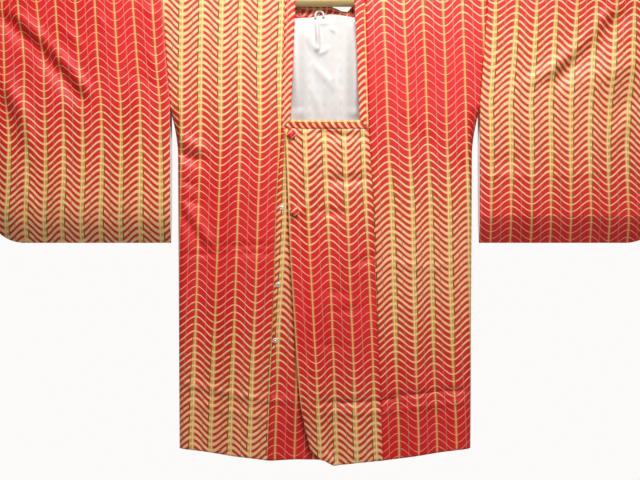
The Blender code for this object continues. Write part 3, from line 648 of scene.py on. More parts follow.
BODY_SWELL = {
    # length, turn: waves are thickest at even turns and thinnest at odd ones
    "right": ((-8713, 0), (-4686, 1), (-790, 2), (3160, 3), (7110, 4), (11060, 5)),
    "left": ((-8713, 1), (-5160, 2), (-1740, 3), (1710, 4), (5160, 5), (8610, 6)),
}


def seam_dip(distance, d):
    """Cloth draws in at a sewn seam: 0.35 mm times exp(-(distance / 3 mm)²), none on the bar."""
    return -0.00035 * np.exp(-(distance / 0.003) ** 2) * ease((d - 0.02) / 0.05)


def cloth_wall(piece, thickness, inner=0):
    """Give a sheet its thickness, half on each side; inner counts to the inner side's material."""
    wall = piece.modifiers.new("Wall", "SOLIDIFY")
    wall.thickness = thickness
    wall.offset = 0.0
    wall.material_offset = inner


def flat_area(x, v):
    """Area of the flat cut: the cross products of each grid cell's diagonals, halved and summed."""
    x, v = np.broadcast_arrays(x, v)
    first = (x[1:, 1:] - x[:-1, :-1], v[1:, 1:] - v[:-1, :-1])
    second = (x[1:, :-1] - x[:-1, 1:], v[1:, :-1] - v[:-1, 1:])
    return float(abs(first[0] * second[1] - first[1] * second[0]).sum() / 2)


front_rows = np.concatenate([np.linspace(HEM_D, TURN_END_D, 125),
                             np.linspace(TURN_END_D, 0, 68)[1:]])
fold_rows = np.linspace(-QUARTER, QUARTER, 17)[1:-1]
neck_angle = np.radians(np.linspace(0, 90, 22)[1:])
neck_rows = (NECK_CURVE_START_V
             + (NECK_END_V - NECK_CURVE_START_V) * np.sin(neck_angle) ** (2 / NECK_CURVE))
neck_rows = neck_rows[neck_rows > QUARTER + 0.0005]
back_rows = NECK_END_V + (QUARTER + HEM_D - NECK_END_V) * np.linspace(0, 1, 184)[1:]
share_in = np.linspace(0, 1, 41)[:-1]
share_side = np.linspace(0, 1, 11)
for side_name, side in SIDES:
    nominal = [-(QUARTER + front_rows), fold_rows, [QUARTER], neck_rows, back_rows]
    nominal = np.concatenate(nominal)[:, None]
    row_d = np.maximum(abs(nominal) - QUARTER, 0)
    inner = np.where(nominal < NECK_END_V, neckline_x(nominal), 0.0) + SEAM_GAP
    bend_x = side_x(row_d) - SIDE_R
    outer = reading(STRIP_HALF, row_d) - SEAM_GAP
    across = np.hstack([inner + (bend_x - inner) * share_in,
                        bend_x + (outer - bend_x) * share_side])
    length = np.where(nominal < -QUARTER, front_length(row_d, across), nominal)
    depth = np.maximum(abs(length) - QUARTER, 0)
    dip = seam_dip(across - inner, depth) + seam_dip(outer - across, depth) * (depth < ARMPIT_D)
    maps = pattern(side * across, length, BODY_LINES[side_name], 2 if side < 0 else 0, side,
                   BODY_COUNTS[side_name], BODY_SWELL[side_name])
    strip = grid_piece(f"coat_body_{side_name}", hung(side * across, length, dip),
                       [silk, body_inside], flip=side < 0, maps=maps)
    cloth_wall(strip, CLOTH, inner=1)
    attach(strip, "root")
    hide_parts(f"body_{side_name}")
    flat_area(across, length)

# Back lining: white figured satin silk, felled to the back neckline and down the side seams,
# hanging close inside the back strips. It shows through the neck.
LINING = 0.0010
LINING_TOP = (
    # x, how far the edge stands above the neckline
    (-0.0557, 0.0010), (-0.0249, 0.0030), (-0.0095, 0.0060), (0.0078, 0.0088), (0.0194, 0.0088),
    (0.0386, 0.0060), (0.0540, 0.0030),
)
LINING_CREASES = (
    (1, 60, 36, -150, 400, -130, 880), (1, 44, 34, -150, 400, 80, 370),
    (1, 30, 36, 120, 500, 190, 560), (1, 40, 110, -475, 480, -200, 840),
    (1, 44, 60, -200, 840, -100, 960), (1, 34, 50, 60, 880, -80, 980),
    (1, 150, 150, -600, 400, -500, 2100), (1, 140, 120, 610, 400, 570, 2100),
    (1, 24, 80, -200, 1200, 150, 1600), (1, 20, 90, 250, 1100, 0, 1900),
    (1, 20, 80, -300, 1500, -100, 2100), (1, 22, 70, 300, 1700, 200, 2200),
    (1, 12, 120, -1500, 2500, -500, 4000), (1, 12, 120, 1400, 3000, 400, 4600),
)
lining_x = np.concatenate([np.linspace(-1, -0.28, 24), np.linspace(-0.28, 0.28, 121)[1:-1],
                           np.linspace(0.28, 1, 24)])[None, :]
lining_v = np.concatenate([np.linspace(NECK_END_V + 2 * SEAM, QUARTER + 0.25, 110),
                           np.linspace(QUARTER + 0.25, QUARTER + 0.832, 80)[1:]])[:, None]
lining_x = lining_x * (side_x(lining_v - QUARTER) - SIDE_R - 0.045)
top_share = 1 - ease((lining_v - NECK_END_V) / 0.03)
lining_v = lining_v - reading(LINING_TOP, lining_x) * top_share
lining_d = lining_v - QUARTER
lining_out = -(CLOTH / 2 + 2 * SEAM + LINING / 2)
free_part = ease((0.20 - abs(lining_x)) / 0.05) * ease((lining_d - 0.03) / 0.02)
lining_rise = np.maximum(creases(LINING_CREASES, lining_x, lining_d, 1), -0.0002)
lining = grid_piece("coat_back_lining",
                    hung(lining_x, lining_v, lining_out - lining_rise * free_part),
                    lining_silk("back_lining_silk"))
cloth_wall(lining, LINING)
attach(lining, "root")
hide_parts("back_lining")
flat_area(lining_x, lining_v)

# Side gussets: narrow wedges of the same silk between front and back, from the armpit to the
# hem. They fold inwards, so that only their edges show from in front.
GUSSET_TOP_D = 0.209
GUSSET_FOLD = (0.003, 0.035)
GUSSET_WAVE = 0.0138
gusset_d = np.concatenate([np.linspace(GUSSET_TOP_D, TURN_END_D, 24),
                           np.linspace(TURN_END_D, HEM_D, 110)[1:]])[:, None]
gusset_angle = np.pi * (np.linspace(0, 1, 25) - 0.5)[None, :]
gusset_inside = lining_silk("gusset_inside_silk", HEM_FACING_Z)
for side_name, side in SIDES:
    strip_end = hung(side * (reading(STRIP_HALF, gusset_d) - SEAM / 2), -(QUARTER + gusset_d))
    half_gap = -strip_end[..., 1] - SEAM - PANEL / 2 - CLOTH / 2 * np.cos(side_turn(gusset_d))
    share = (gusset_d - ARMPIT_D) / (HEM_D - ARMPIT_D)
    fold = GUSSET_FOLD[0] + GUSSET_FOLD[1] * share
    y = half_gap * np.sign(gusset_angle) * abs(np.sin(gusset_angle)) ** 0.5
    x = strip_end[..., 0] - side * fold * np.maximum(np.cos(gusset_angle), 0) ** 0.5
    places = joined(x, y, strip_end[..., 2])
    steps = np.linalg.norm(np.diff(places, axis=1), axis=-1)
    run = np.concatenate([np.zeros((len(gusset_d), 1)), np.cumsum(steps, axis=1)], axis=1)
    run = run - run[:, -1:] / 2
    thick = 0.5 - 0.5 * np.cos(2 * np.pi * (gusset_d - 0.10) / 0.75)
    gusset_maps = {"weave": (run / LINE_GAP + 0.5, gusset_d / GUSSET_WAVE),
                   "swell": (thick, thick)}
    gusset = grid_piece(f"coat_gusset_{side_name}", places, [silk, gusset_inside],
                        flip=side < 0, maps=gusset_maps)
    cloth_wall(gusset, PANEL, inner=1)
    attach(gusset, "root")
    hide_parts(f"gusset_{side_name}")
    float(2 * run.max())
    f"coat_body_{side_name}"
    flat_area(run, gusset_d)

# Front panels: the wearer's left one laps over the right one. Both are the same silk, faced
# inside with it, and hang from the bands below the neck.
# depth, x
OVERLAP_EDGE = ((0.2449, -0.0760), (0.3810, -0.0703), (0.4950, -0.0659), (0.5970, -0.0595),
                (0.6980, -0.0532), (0.7740, -0.0456), (0.8130, -0.0380), (0.8560, -0.0277),
                (0.8790, -0.0020))
UNDERLAP_EDGE = ((0.2449, 0.0400), (0.8790, 0.0280))
# x, depth of the hem
OVERLAP_HEM = ((-0.0020, 0.8744), (0.0156, 0.8833), (0.1070, 0.8744), (0.1200, 0.8744))
LAP = 0.0021
EDGE_LIFT = 0.0070
OVERLAP_LINES = (
    # length, then the places of the lines across the cloth
    (-8865, -399, -76, 232, 614, 984), (-5160, -646, -277, 93, 462, 830),
    (-4020, -684, -323, 47, 428, 779), (-2690, -732, -370, 0, 380, 732),
)
UNDERLAP_LINES = (
    (-8922, -952, -583, -219), (-6490, -874, -508, -140), (-5635, -821, -455, -90),
    (-4495, -763, -400, -33), (-4020, -756, -393, -26),
)
OVERLAP_COUNTS = (
    (-9050, 4340, 4340), (-8998, 4300, 4300), (-8390, 3826, 3826), (-7478, 3134, 3134),
    (-6566, 2498, 2498), (-5654, 1906, 1906), (-4742, 1296, 1296), (-3830, 657, 657),
    (-2918, -46, -46), (-2481, -390, -390),
)
UNDERLAP_COUNTS = (
    (-8998, 3350, 3350), (-8105, 2745, 2745), (-7193, 2119, 2119), (-6281, 1450, 1450),
    (-5369, 745, 745), (-4457, 10, 10), (-2481, -1590, -1590),
)
OVERLAP_SWELL = ((-9050, 0), (-6300, 1), (-2490, 2))
UNDERLAP_SWELL = ((-8770, 1), (-5260, 2), (-1700, 3))


def lap_height(x, d):
    """How far the overlap stands out.

    LAP from x = 0.066 to 0.050 and on over the underlap, and EDGE_LIFT more in the last 36 mm
    before its free edge, both by smooth steps 16 mm wide.
    """
    lap = LAP * ease((0.066 - x) / 0.016)
    return lap + EDGE_LIFT * ease((reading(OVERLAP_EDGE, d) + 0.036 - x) / 0.016)


def underlap_in(x, d):
    """How far the underlap lies back beside the overlap's edge.

    5 mm times two smooth steps: down from depth 0.27 to 0.39, and across over 24 mm, from 2 mm
    inside its seam.
    """
    return 0.0050 * ease((d - 0.27) / 0.12) * ease((x + reading(FRONT_SEAM, d) - 0.002) / 0.024)


panel_rows = np.concatenate([np.linspace(PANEL_TOP_D + SEAM, TURN_END_D, 13),
                             np.linspace(TURN_END_D, HEM_D, 125)[1:]])[:, None]
left_edge = -reading(FRONT_SEAM, panel_rows) + SEAM_GAP
right_edge = reading(UNDERLAP_EDGE, panel_rows)
panel_x = left_edge + (right_edge - left_edge) * np.linspace(0, 1, 29)[None, :]
panel_v = front_length(panel_rows, abs(panel_x))
panel_out = seam_dip(panel_x - left_edge, panel_rows) - underlap_in(panel_x, panel_rows)
maps = pattern(panel_x, panel_v, UNDERLAP_LINES, 0, -1, UNDERLAP_COUNTS, UNDERLAP_SWELL)
underlap = grid_piece("coat_underlap", hung(panel_x, panel_v, panel_out), silk, flip=True,
                      maps=maps)
cloth_wall(underlap, PANEL)
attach(underlap, "root")
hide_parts("front_panel_right")
flat_area(panel_x, panel_v)

deep = -front_length(panel_rows, np.zeros_like(panel_rows), OVERLAP_HEM) - QUARTER
left_edge = reading(OVERLAP_EDGE, deep)
right_edge = reading(FRONT_SEAM, panel_rows) - SEAM_GAP
panel_x = left_edge + (right_edge - left_edge) * np.linspace(0, 1, 41)[None, :]
panel_v = front_length(panel_rows, panel_x, OVERLAP_HEM)
panel_out = lap_height(panel_x, -panel_v - QUARTER) + seam_dip(right_edge - panel_x, panel_rows)
maps = pattern(panel_x, panel_v, OVERLAP_LINES, 0, -1, OVERLAP_COUNTS, OVERLAP_SWELL)
overlap = grid_piece("coat_overlap", hung(panel_x, panel_v, panel_out), silk, flip=True, maps=maps)
cloth_wall(overlap, PANEL)
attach(overlap, "root")
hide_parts("front_panel_left")
flat_area(panel_x, panel_v)

# Neckband: a folded strip of the silk round the square neck, mitred at the two front corners,
# with a level length on top of each front panel.
NECK_TOP_X = 0.0560
NECK_BOTTOM_X = 0.0655
BACK_BAND = 0.0195
BAND_WAVE = 0.0134
BACK_TOP_EDGE = (
    # x, how far the free edge behind the neck hangs below its even curve
    (-0.0560, -0.0010), (-0.0470, -0.0012), (-0.0249, -0.0032), (-0.0057, -0.0042),
    (0.0097, -0.0048), (0.0230, 0.0012), (0.0330, 0.0074), (0.0440, 0.0112), (0.0510, 0.0070),
    (0.0560, 0.0030),
)
BAND_DRIFT = (
    # share of the length, place of the sewn edge between the gold lines
    (0.00, -0.66), (0.35, -0.65), (0.50, -0.44), (0.60, -0.60), (0.68, -1.02), (1.00, -1.05),
)
side_run = np.linspace(NECK_BOTTOM_D, 0.0, 52)
down_run = np.linspace(PANEL_TOP_D, 0.0, 52)
bar_run = np.linspace(-QUARTER, NECK_CURVE_START_V, 13)[1:]
curve = np.radians(np.linspace(0, 90, 31))[1:]


def band_edge(run, front_x, end_v):
    """A long edge of half the band: up the front, over the bar, and a superellipse behind."""
    behind_x = front_x[-1] * np.maximum(np.cos(curve), 0) ** (2 / NECK_CURVE)
    rise = (end_v - NECK_CURVE_START_V) * np.sin(curve) ** (2 / NECK_CURVE)
    x = np.concatenate([front_x, np.full(len(bar_run), front_x[-1]), behind_x])
    x[-1] = 0.0
    return x, np.concatenate([-(QUARTER + run), bar_run, NECK_CURVE_START_V + rise])


inner_front_x = NECK_TOP_X + (NECK_BOTTOM_X - NECK_TOP_X) * side_run / NECK_BOTTOM_D
outer_x, outer_v = band_edge(down_run, reading(FRONT_SEAM, down_run), NECK_END_V)
inner_x, inner_v = band_edge(side_run, inner_front_x, NECK_END_V - BACK_BAND)
outer_x = np.maximum(outer_x - SEAM_GAP, 0.0)
behind = (outer_v - NECK_CURVE_START_V) / (NECK_END_V - NECK_CURVE_START_V)
outer_v = outer_v - SEAM * ease(behind * 3)
steps = np.hypot(np.diff((outer_x + inner_x) / 2), np.diff((outer_v + inner_v) / 2))
run = np.concatenate([[0], np.cumsum(steps)])
width = np.linspace(0, 1, 7)[None, :]
half_x = outer_x[:, None] + (inner_x - outer_x)[:, None] * width
half_v = outer_v[:, None] + (inner_v - outer_v)[:, None] * width
band_x = np.vstack([-half_x, half_x[-2::-1]])
band_v = np.vstack([half_v, half_v[-2::-1]])
band_run = np.concatenate([run, 2 * run[-1] - run[-2::-1]])[:, None]
left_half = np.arange(len(band_v))[:, None] < len(half_v)
on_side = ease((NECK_CURVE_START_V - band_v) / 0.02)
band_slant = (band_v - band_v.mean(axis=1, keepdims=True)) * on_side
band_run = band_run + np.where(left_half, band_slant, -band_slant)
band_place = reading(BAND_DRIFT, band_run / band_run.max()) + 0.55 * width
down_front = ease((-band_v - 0.02) / 0.20)
band_swell = np.where(left_half, 0.70 + 0.25 * down_front, 0.35 + 0.50 * down_front)
band_round = 0.0005 * np.sin(np.pi * width) * ease((abs(band_v) - QUARTER) / 0.03)
behind = band_v - NECK_CURVE_START_V
band_v = band_v + reading(BACK_TOP_EDGE, band_x) * width * ease(behind / 0.01)
behind = band_v - NECK_CURVE_START_V
at_back = ease((0.0530 - abs(band_x)) / 0.006) * ease(behind / 0.006)
back_place = -1 + (band_v - band_v[:, -1:] - 0.0042) / LINE_GAP
back_count = band_x / 0.0130 - band_run.max() / (2 * BAND_WAVE)
band_count = -band_run / BAND_WAVE
band_maps = {"weave": (band_place + (back_place - band_place) * at_back,
                       band_count + (back_count - band_count) * at_back),
             "swell": (band_swell, 0.05)}
neckband = grid_piece("coat_neckband", hung(band_x, band_v, band_round), silk, maps=band_maps)
cloth_wall(neckband, PANEL)
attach(neckband, "root")
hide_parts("neckband")
band_length = float(2 * run[-1])
min(flat_area(band_x, band_v), 0.0205 * band_length)

corner_x = float(reading(FRONT_SEAM, PANEL_TOP_D)) - 2 * SEAM
neck_x = NECK_BOTTOM_X - 2 * SEAM
for side_name, ends, lapped in (
        ("right", (-neck_x, -corner_x, UNDERLAP_EDGE[0][1], UNDERLAP_EDGE[0][1]), False),
        ("left", (-neck_x, OVERLAP_EDGE[0][1], neck_x, corner_x), True)):
    down = np.linspace(0, 1, 6)[:, None]
    left = ends[0] + (ends[1] - ends[0]) * down
    right = ends[2] + (ends[3] - ends[2]) * down
    level_x = left + (right - left) * np.linspace(0, 1, 49)[None, :]
    level_d = NECK_BOTTOM_D + (PANEL_TOP_D - NECK_BOTTOM_D) * down
    level_out = 0.0
    if lapped:
        pucker = 0.0004 * np.sin(level_x / 0.0021) * np.sin(level_x / 0.0073) * down
        level_out = lap_height(level_x, PANEL_TOP_D) + 0.0006 * np.sin(np.pi * down) + pucker
    level_maps = {"weave": (-0.035 + 0.47 * down, level_x / 0.0124), "swell": (0.85, 0.34)}
    level_band = grid_piece(f"coat_panel_band_{side_name}",
                            hung(level_x, -(QUARTER + level_d), level_out),
                            silk, flip=True, maps=level_maps)
    cloth_wall(level_band, PANEL)
    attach(level_band, "root")
    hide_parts(f"panel_band_{side_name}")
    float(np.ptp(level_x))
    flat_area(level_x, level_d)

# Sleeves: each is one strip of the silk folded at the shoulder, sewn to the body above, sewn up
# the outer edge below the cuff and round its corner, and open along the inner edge below the
# armhole.
SLEEVE_D = 0.4617
SLEEVE_IN_X = 0.2945
SLEEVE_OUT_X = 0.647
SLEEVE_CORNER_R = 0.072
SLEEVE_FULL_INSET = 0.14
SLEEVE_BEND = 0.042
CUFF_D = 0.230
CUFF_CLOSING = 0.06
SLEEVE_FOLDS = (
    # face, height, half width, then x and depth of each point of a chain
    (-1, -50, 140, -6175, 300, -5396, 903, -4617, 1870), (-1, -50, 140, 5490, 300, 4900, 900),
    (-1, -45, 140, 4900, 900, 4410, 1600), (-1, 25, 220, -3500, 2000, -3650, 4000),
    (-1, 25, 220, 3550, 1800, 3750, 4000), (-1, 25, 240, 5200, 2300, 5000, 4000),
    (-1, 22, 240, -5200, 2600, -5000, 4000), (1, -45, 150, -5900, 400, -4600, 2000),
    (1, -45, 150, 5800, 400, 4700, 1800), (1, 25, 240, -3600, 1800, -3800, 3900),
    (1, 25, 240, 3600, 2000, 3900, 3900),
)
SLEEVE_CREASES = (
    (-1, 76, 120, -5960, 190, -5215, 931, -4817, 1368), (-1, 74, 115, -4817, 1368, -4512, 1786),
    (-1, -50, 160, -6120, 380, -5385, 1101, -4987, 1538), (-1, -48, 150, -4987, 1538, -4712, 1950),
    (-1, -30, 280, -6100, 755, -5510, 1376), (-1, 36, 60, -5082, 456, -4646, 855),
    (-1, 24, 55, -4351, 256, -4199, 522), (-1, 40, 50, -3572, 47, -3268, 256),
    (-1, 22, 50, -3420, 902, -3192, 1321), (-1, -22, 50, -3781, 1378, -3097, 1663),
    (-1, 66, 150, -6080, 1560, -5852, 1966), (-1, 64, 150, -5852, 1966, -5662, 2384),
    (-1, 58, 140, -5662, 2384, -5586, 2859), (-1, -56, 190, -6300, 1800, -6030, 2230),
    (-1, -46, 180, -6030, 2230, -5930, 2850), (-1, 26, 90, -5795, 3335, -5529, 4094),
    (-1, 76, 120, 5640, -50, 5101, 635, 4663, 1045), (-1, 74, 115, 4663, 1045, 4218, 1368),
    (-1, 60, 100, 4218, 1368, 3838, 1596), (-1, -50, 160, 5850, 150, 5275, 831, 4838, 1229),
    (-1, -46, 150, 4838, 1229, 4363, 1552), (-1, 72, 210, 5030, 1560, 6120, 1080),
    (-1, -66, 250, 5400, 2130, 6150, 1830), (-1, 30, 90, 5795, 2137, 5529, 2707),
    (-1, 28, 45, 2945, 3335, 4085, 3372, 5453, 3240), (-1, -30, 140, 3002, 3106, 3895, 3049),
    (1, -74, 90, -5900, 400, -5200, 1250), (1, -74, 90, 5750, 450, 5150, 1200),
    (1, 34, 88, -5600, 1800, -4200, 2500), (1, -27, 77, -4000, 500, -3500, 1500),
    (1, 27, 66, -5400, 4100, -3600, 4250), (1, 30, 88, 4300, 2400, 5700, 1900),
    (1, -27, 77, 3600, 600, 4200, 1700), (1, 27, 66, 3500, 4200, 5300, 4120),
)
SLEEVE_LINES = {
    # length, then the places of the lines across the cloth
    "right": (
        (-4780, -6098, -5720, -5363, -5030, -4663, -4294, -3920, -3537, -3139),
        (-4362, -6089, -5721, -5362, -5026, -4659, -4291, -3917, -3536, -3141),
        (-3621, -6040, -5689, -5325, -4985, -4624, -4266, -3897, -3524, -3139),
        (-2899, -6026, -5692, -5323, -4979, -4614, -4253, -3884, -3518, -3141),
        (-2158, -6076, -5727, -5337, -4988, -4620, -4264, -3891, -3516, -3144),
        (-1436, -6109, -5727, -5363, -5058, -4683, -4324, -3949, -3573, -3212),
        (-220, -6158, -5858, -5500, -5141, -4760, -4388, -4023, -3668, -3296),
        (4830, -6182, -5815, -5447, -5080, -4690, -4320, -3959, -3606, -3237),
    ),
    "left": (
        (-4780, 3162, 3540, 3934, 4302, 4684, 5068, 5416, 5780),
        (-4362, 3160, 3537, 3930, 4298, 4682, 5063, 5415, 5780),
        (-3621, 3160, 3532, 3922, 4288, 4667, 5033, 5382, 5744),
        (-2899, 3151, 3520, 3912, 4281, 4660, 5015, 5365, 5725),
        (-2158, 3134, 3507, 3896, 4269, 4659, 5028, 5405, 5772),
        (-1436, 3179, 3567, 3953, 4321, 4703, 5078, 5471, 5833),
        (-220, 3244, 3656, 4031, 4405, 4799, 5168, 5555, 5899),
        (4830, 3190, 3596, 3965, 4333, 4721, 5090, 5477, 5821),
    ),
}
SLEEVE_COUNTS = {
    # length, count on the first line, count on the last line
    "right": (
        (-4837, 3177, 3075), (-4172, 2649, 2548), (-3260, 1922, 1838), (-2348, 1274, 1200),
        (-1436, 637, 584), (-524, 60, 17), (-220, -126, -170), (2000, -1740, -1740),
        (4837, -3860, -3860),
    ),
    "left": (
        (-4837, 3244, 3211), (-4172, 2752, 2716), (-3260, 2075, 2034), (-2348, 1351, 1315),
        (-1436, 646, 619), (-524, -28, -49), (-220, -254, -274), (2000, -1810, -1810),
        (4837, -3960, -3960),
    ),
}
SLEEVE_SWELL = {
    "right": ((-4840, 0), (-696, 1), (3300, 2), (7300, 3)),
    "left": ((-5300, 1), (-2120, 2), (1380, 3), (4900, 4)),
}


def sleeve_fullness(x, d):
    """Share of the sleeve's depth, from the inset from its sewn edges.

    0.3 times the sine of the inset over 14 cm, and 0.7 times 1 - (1 - inset / 42 mm)^1.3.
    """
    corner_x, corner_d = SLEEVE_OUT_X - SLEEVE_CORNER_R, SLEEVE_D - SLEEVE_CORNER_R
    in_corner = (abs(x) > corner_x) & (d > corner_d)
    open_cuff = 1 - ease((d - CUFF_D + CUFF_CLOSING) / CUFF_CLOSING)
    plain = np.minimum(SLEEVE_D - d, SLEEVE_OUT_X - abs(x) + SLEEVE_FULL_INSET * open_cuff)
    rounded = SLEEVE_CORNER_R - np.hypot(abs(x) - corner_x, d - corner_d)
    inset = np.where(in_corner, rounded, plain)
    bend = 1 - (1 - np.clip(inset / SLEEVE_BEND, 0, 1)) ** 1.3
    return 0.3 * np.sin(math.pi / 2 * np.clip(inset / SLEEVE_FULL_INSET, 0, 1)) + 0.7 * bend


def sleeve_folds(x, d, face):
    """Deepest valley plus highest ridge of the large folds at each point."""
    valley = np.zeros(np.broadcast(x, d).shape)
    ridge = np.zeros_like(valley)
    for x0, _, rise in bells(SLEEVE_FOLDS, x, d, face):
        rise = np.where(x * x0 > 0, rise, 0.0)
        valley = np.minimum(valley, rise)
        ridge = np.maximum(ridge, rise)
    return valley + ridge


def sleeve_hung(x, v, out=0.0):
    """Fold flat sleeve cloth over the bar; front and back come together at the sewn edges.

    Half the depth grows with the fullness, from half a cloth and a seam to half_depth plus
    ripple. Folds and creases are added, and it is never less than half a cloth and a seam.
    """
    d = np.maximum(abs(v) - QUARTER, 0.0)
    face = np.where(v < 0, -1, 1)
    sewn = CLOTH / 2 + SEAM
    fullness = sleeve_fullness(x, d)
    calm = ease((d - 0.012) / 0.03) * fullness * ease((abs(x) - SLEEVE_IN_X) / 0.04)
    level = sewn + (half_depth(np.minimum(d, ARMPIT_D)) + ripple(x, d) - sewn) * fullness
    level = level + sleeve_folds(x, d, face) * calm
    level = level + creases(SLEEVE_CREASES, x, d, face) * np.sqrt(fullness)
    level = np.maximum(level + out, sewn)
    return over_bar(x, v, FOLD_R + ripple(x, 0.0), joined(x, face * level, BAR_Z - d))


sleeve_inside = lining_silk("sleeve_inside_silk")
corner_d = SLEEVE_D - SLEEVE_CORNER_R
corner_rows = corner_d + SLEEVE_CORNER_R * np.sin(np.radians(np.linspace(0, 90, 21)[1:]))
face_rows = np.concatenate([np.linspace(0, corner_d, 84), corner_rows])
lengths = np.concatenate([-(QUARTER + face_rows[::-1]), fold_rows, QUARTER + face_rows])[:, None]
sleeve_d = np.maximum(abs(lengths) - QUARTER, 0)
corner_arc = np.sqrt(np.maximum(SLEEVE_CORNER_R ** 2 - (sleeve_d - corner_d) ** 2, 0))
sleeve_outer = SLEEVE_OUT_X + np.where(sleeve_d > corner_d, corner_arc - SLEEVE_CORNER_R, 0)
sleeve_inner = reading(STRIP_HALF, np.minimum(sleeve_d, ARMPIT_D)) + SEAM_GAP
sleeve_across = sleeve_inner + (sleeve_outer - sleeve_inner) * np.linspace(0, 1, 71)[None, :]
for side_name, side in SIDES:
    dip = seam_dip(sleeve_across - sleeve_inner, sleeve_d) * (sleeve_d < ARMPIT_D)
    maps = pattern(side * sleeve_across, lengths, SLEEVE_LINES[side_name], 1, 1,
                   SLEEVE_COUNTS[side_name], SLEEVE_SWELL[side_name])
    sleeve = grid_piece(f"coat_sleeve_{side_name}", sleeve_hung(side * sleeve_across, lengths, dip),
                        [silk, sleeve_inside], flip=side < 0, maps=maps)
    cloth_wall(sleeve, CLOTH, inner=1)
    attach(sleeve, "root")
    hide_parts(f"sleeve_{side_name}")
    flat_area(sleeve_across, lengths)

# Hanging loop: a white sewn cord of cloth whose ends are caught under the lining's edge at the
# back neck.
LOOP_X = -0.0106
LOOP_HALF = 0.0078
LOOP_TOP_D = 0.0166
LOOP_FEET_D = (0.0285, 0.0300)
LOOP_CORD_R = 0.0022


def loop_cloth():
    """White silk cord with the fine slanting thread lines of its weave."""
    white = Finish("loop_cloth", 0.6, 0.3, sheen=0.15)
    threads = white.noise(white.place(), 1500.0)
    white.colour(white.mix(threads, (0.80, 0.74, 0.70, 1), (0.92, 0.87, 0.83, 1)))
    white.bump(threads, 0.3, 0.0003)
    return white.material


loop_angle = np.linspace(0, np.pi, 29)
loop_x = LOOP_X + LOOP_HALF * np.cos(loop_angle)
loop_foot = np.linspace(LOOP_FEET_D[0], LOOP_FEET_D[1], 29)
loop_d = loop_foot - (loop_foot - LOOP_TOP_D) * np.sin(loop_angle) ** 0.6
loop_out = -(CLOTH / 2 + 2 * SEAM + LINING + SEAM + LOOP_CORD_R)
loop_path = hung(loop_x, QUARTER + loop_d, loop_out)
loop_radii = LOOP_CORD_R * (0.75 + 0.25 * ease(np.sin(loop_angle) / 0.4))
loop = grid_piece("coat_neck_loop", pipe(loop_path, loop_radii, 14), loop_cloth(), tube=True)
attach(loop, "root")
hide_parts("neck_loop")

# Buttons: two low domes with a hard core, covered with the coat's own silk and sewn to the
# overlap near its free edge. They only adorn it: the snaps hold the fronts together.
BUTTONS = (
    # x, depth, count of waves at the middle, their spacing, how thick they are
    (-0.0640, 0.2563, 0.42, 0.0154, 0.15),
    (-0.0578, 0.4028, 0.30, 0.0110, 0.45),
)
BUTTON_PROFILE = (
    # radius, height
    (0.0030, 0.0000), (0.0074, 0.0002), (0.0084, 0.0010), (0.0087, 0.0021), (0.0084, 0.0034),
    (0.0077, 0.0048), (0.0066, 0.0060), (0.0051, 0.0069), (0.0032, 0.0075), (0.0010, 0.0077),
)


def turned_piece(name, profile, sides, seat, facing, finish, maps, petals=0, petal_depth=0.0):
    """A round piece about an axis along Y: radius and height from the profile, at every angle.

    With petals, the radius swells and shrinks as a cosine of the angle times their number. maps
    turns the places across and up on the face into the piece's maps.
    """
    radius, height = np.array(profile).T[:, :, None]
    angle = np.linspace(0, 2 * np.pi, sides, endpoint=False)[None, :]
    swell = 1 + petal_depth * np.cos(petals * angle)
    across, up = radius * np.cos(angle), radius * np.sin(angle)
    points = joined(seat[0] + across * swell, seat[1] + facing * height, seat[2] + up * swell)
    return grid_piece(name, points, finish, tube=True, flip=facing > 0, maps=maps(across, up))


for number, (x, d, count, spacing, swollen) in enumerate(BUTTONS, start=1):
    seat = hung(x, -(QUARTER + d), lap_height(x, d) + PANEL / 2 + 2 * SEAM)
    button = turned_piece(
        f"coat_button_{number}", BUTTON_PROFILE, 40, seat, -1, silk,
        lambda across, up: {"weave": (0.5 - across / LINE_GAP, count - up / spacing),
                            "swell": (swollen, 0.1)})
    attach(button, "root")
    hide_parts(f"button_{number}")

# Snaps: sew-on press studs of white lacquered brass, the sockets on the underlap and the studs
# under the edge of the overlap, each held by threads through four holes.
SNAPS = (
    # x of the socket, x of the stud, depth
    (-0.0817, -0.0615, 0.3954), (-0.0895, -0.0555, 0.5413), (-0.0945, -0.0485, 0.6470),
)
STITCH_REACH = (0.0030, 0.0048)
STITCH_RISE = 0.0010
THREAD_R = 0.00028
SOCKET_PROFILE = (
    # radius, height
    (0.0030, 0.0), (0.0041, 0.0001), (0.0043, 0.0005), (0.0041, 0.0008), (0.0036, 0.0010),
    (0.0028, 0.0013), (0.0023, 0.0016), (0.0018, 0.0016), (0.0014, 0.0013), (0.0012, 0.0008),
    (0.0004, 0.0007),
)
STUD_PROFILE = (
    # radius, height
    (0.0030, 0.0), (0.0041, 0.0001), (0.0042, 0.0004), (0.0038, 0.0007), (0.0020, 0.0008),
    (0.0013, 0.0009), (0.0014, 0.0012), (0.0010, 0.0015), (0.0003, 0.0016),
)


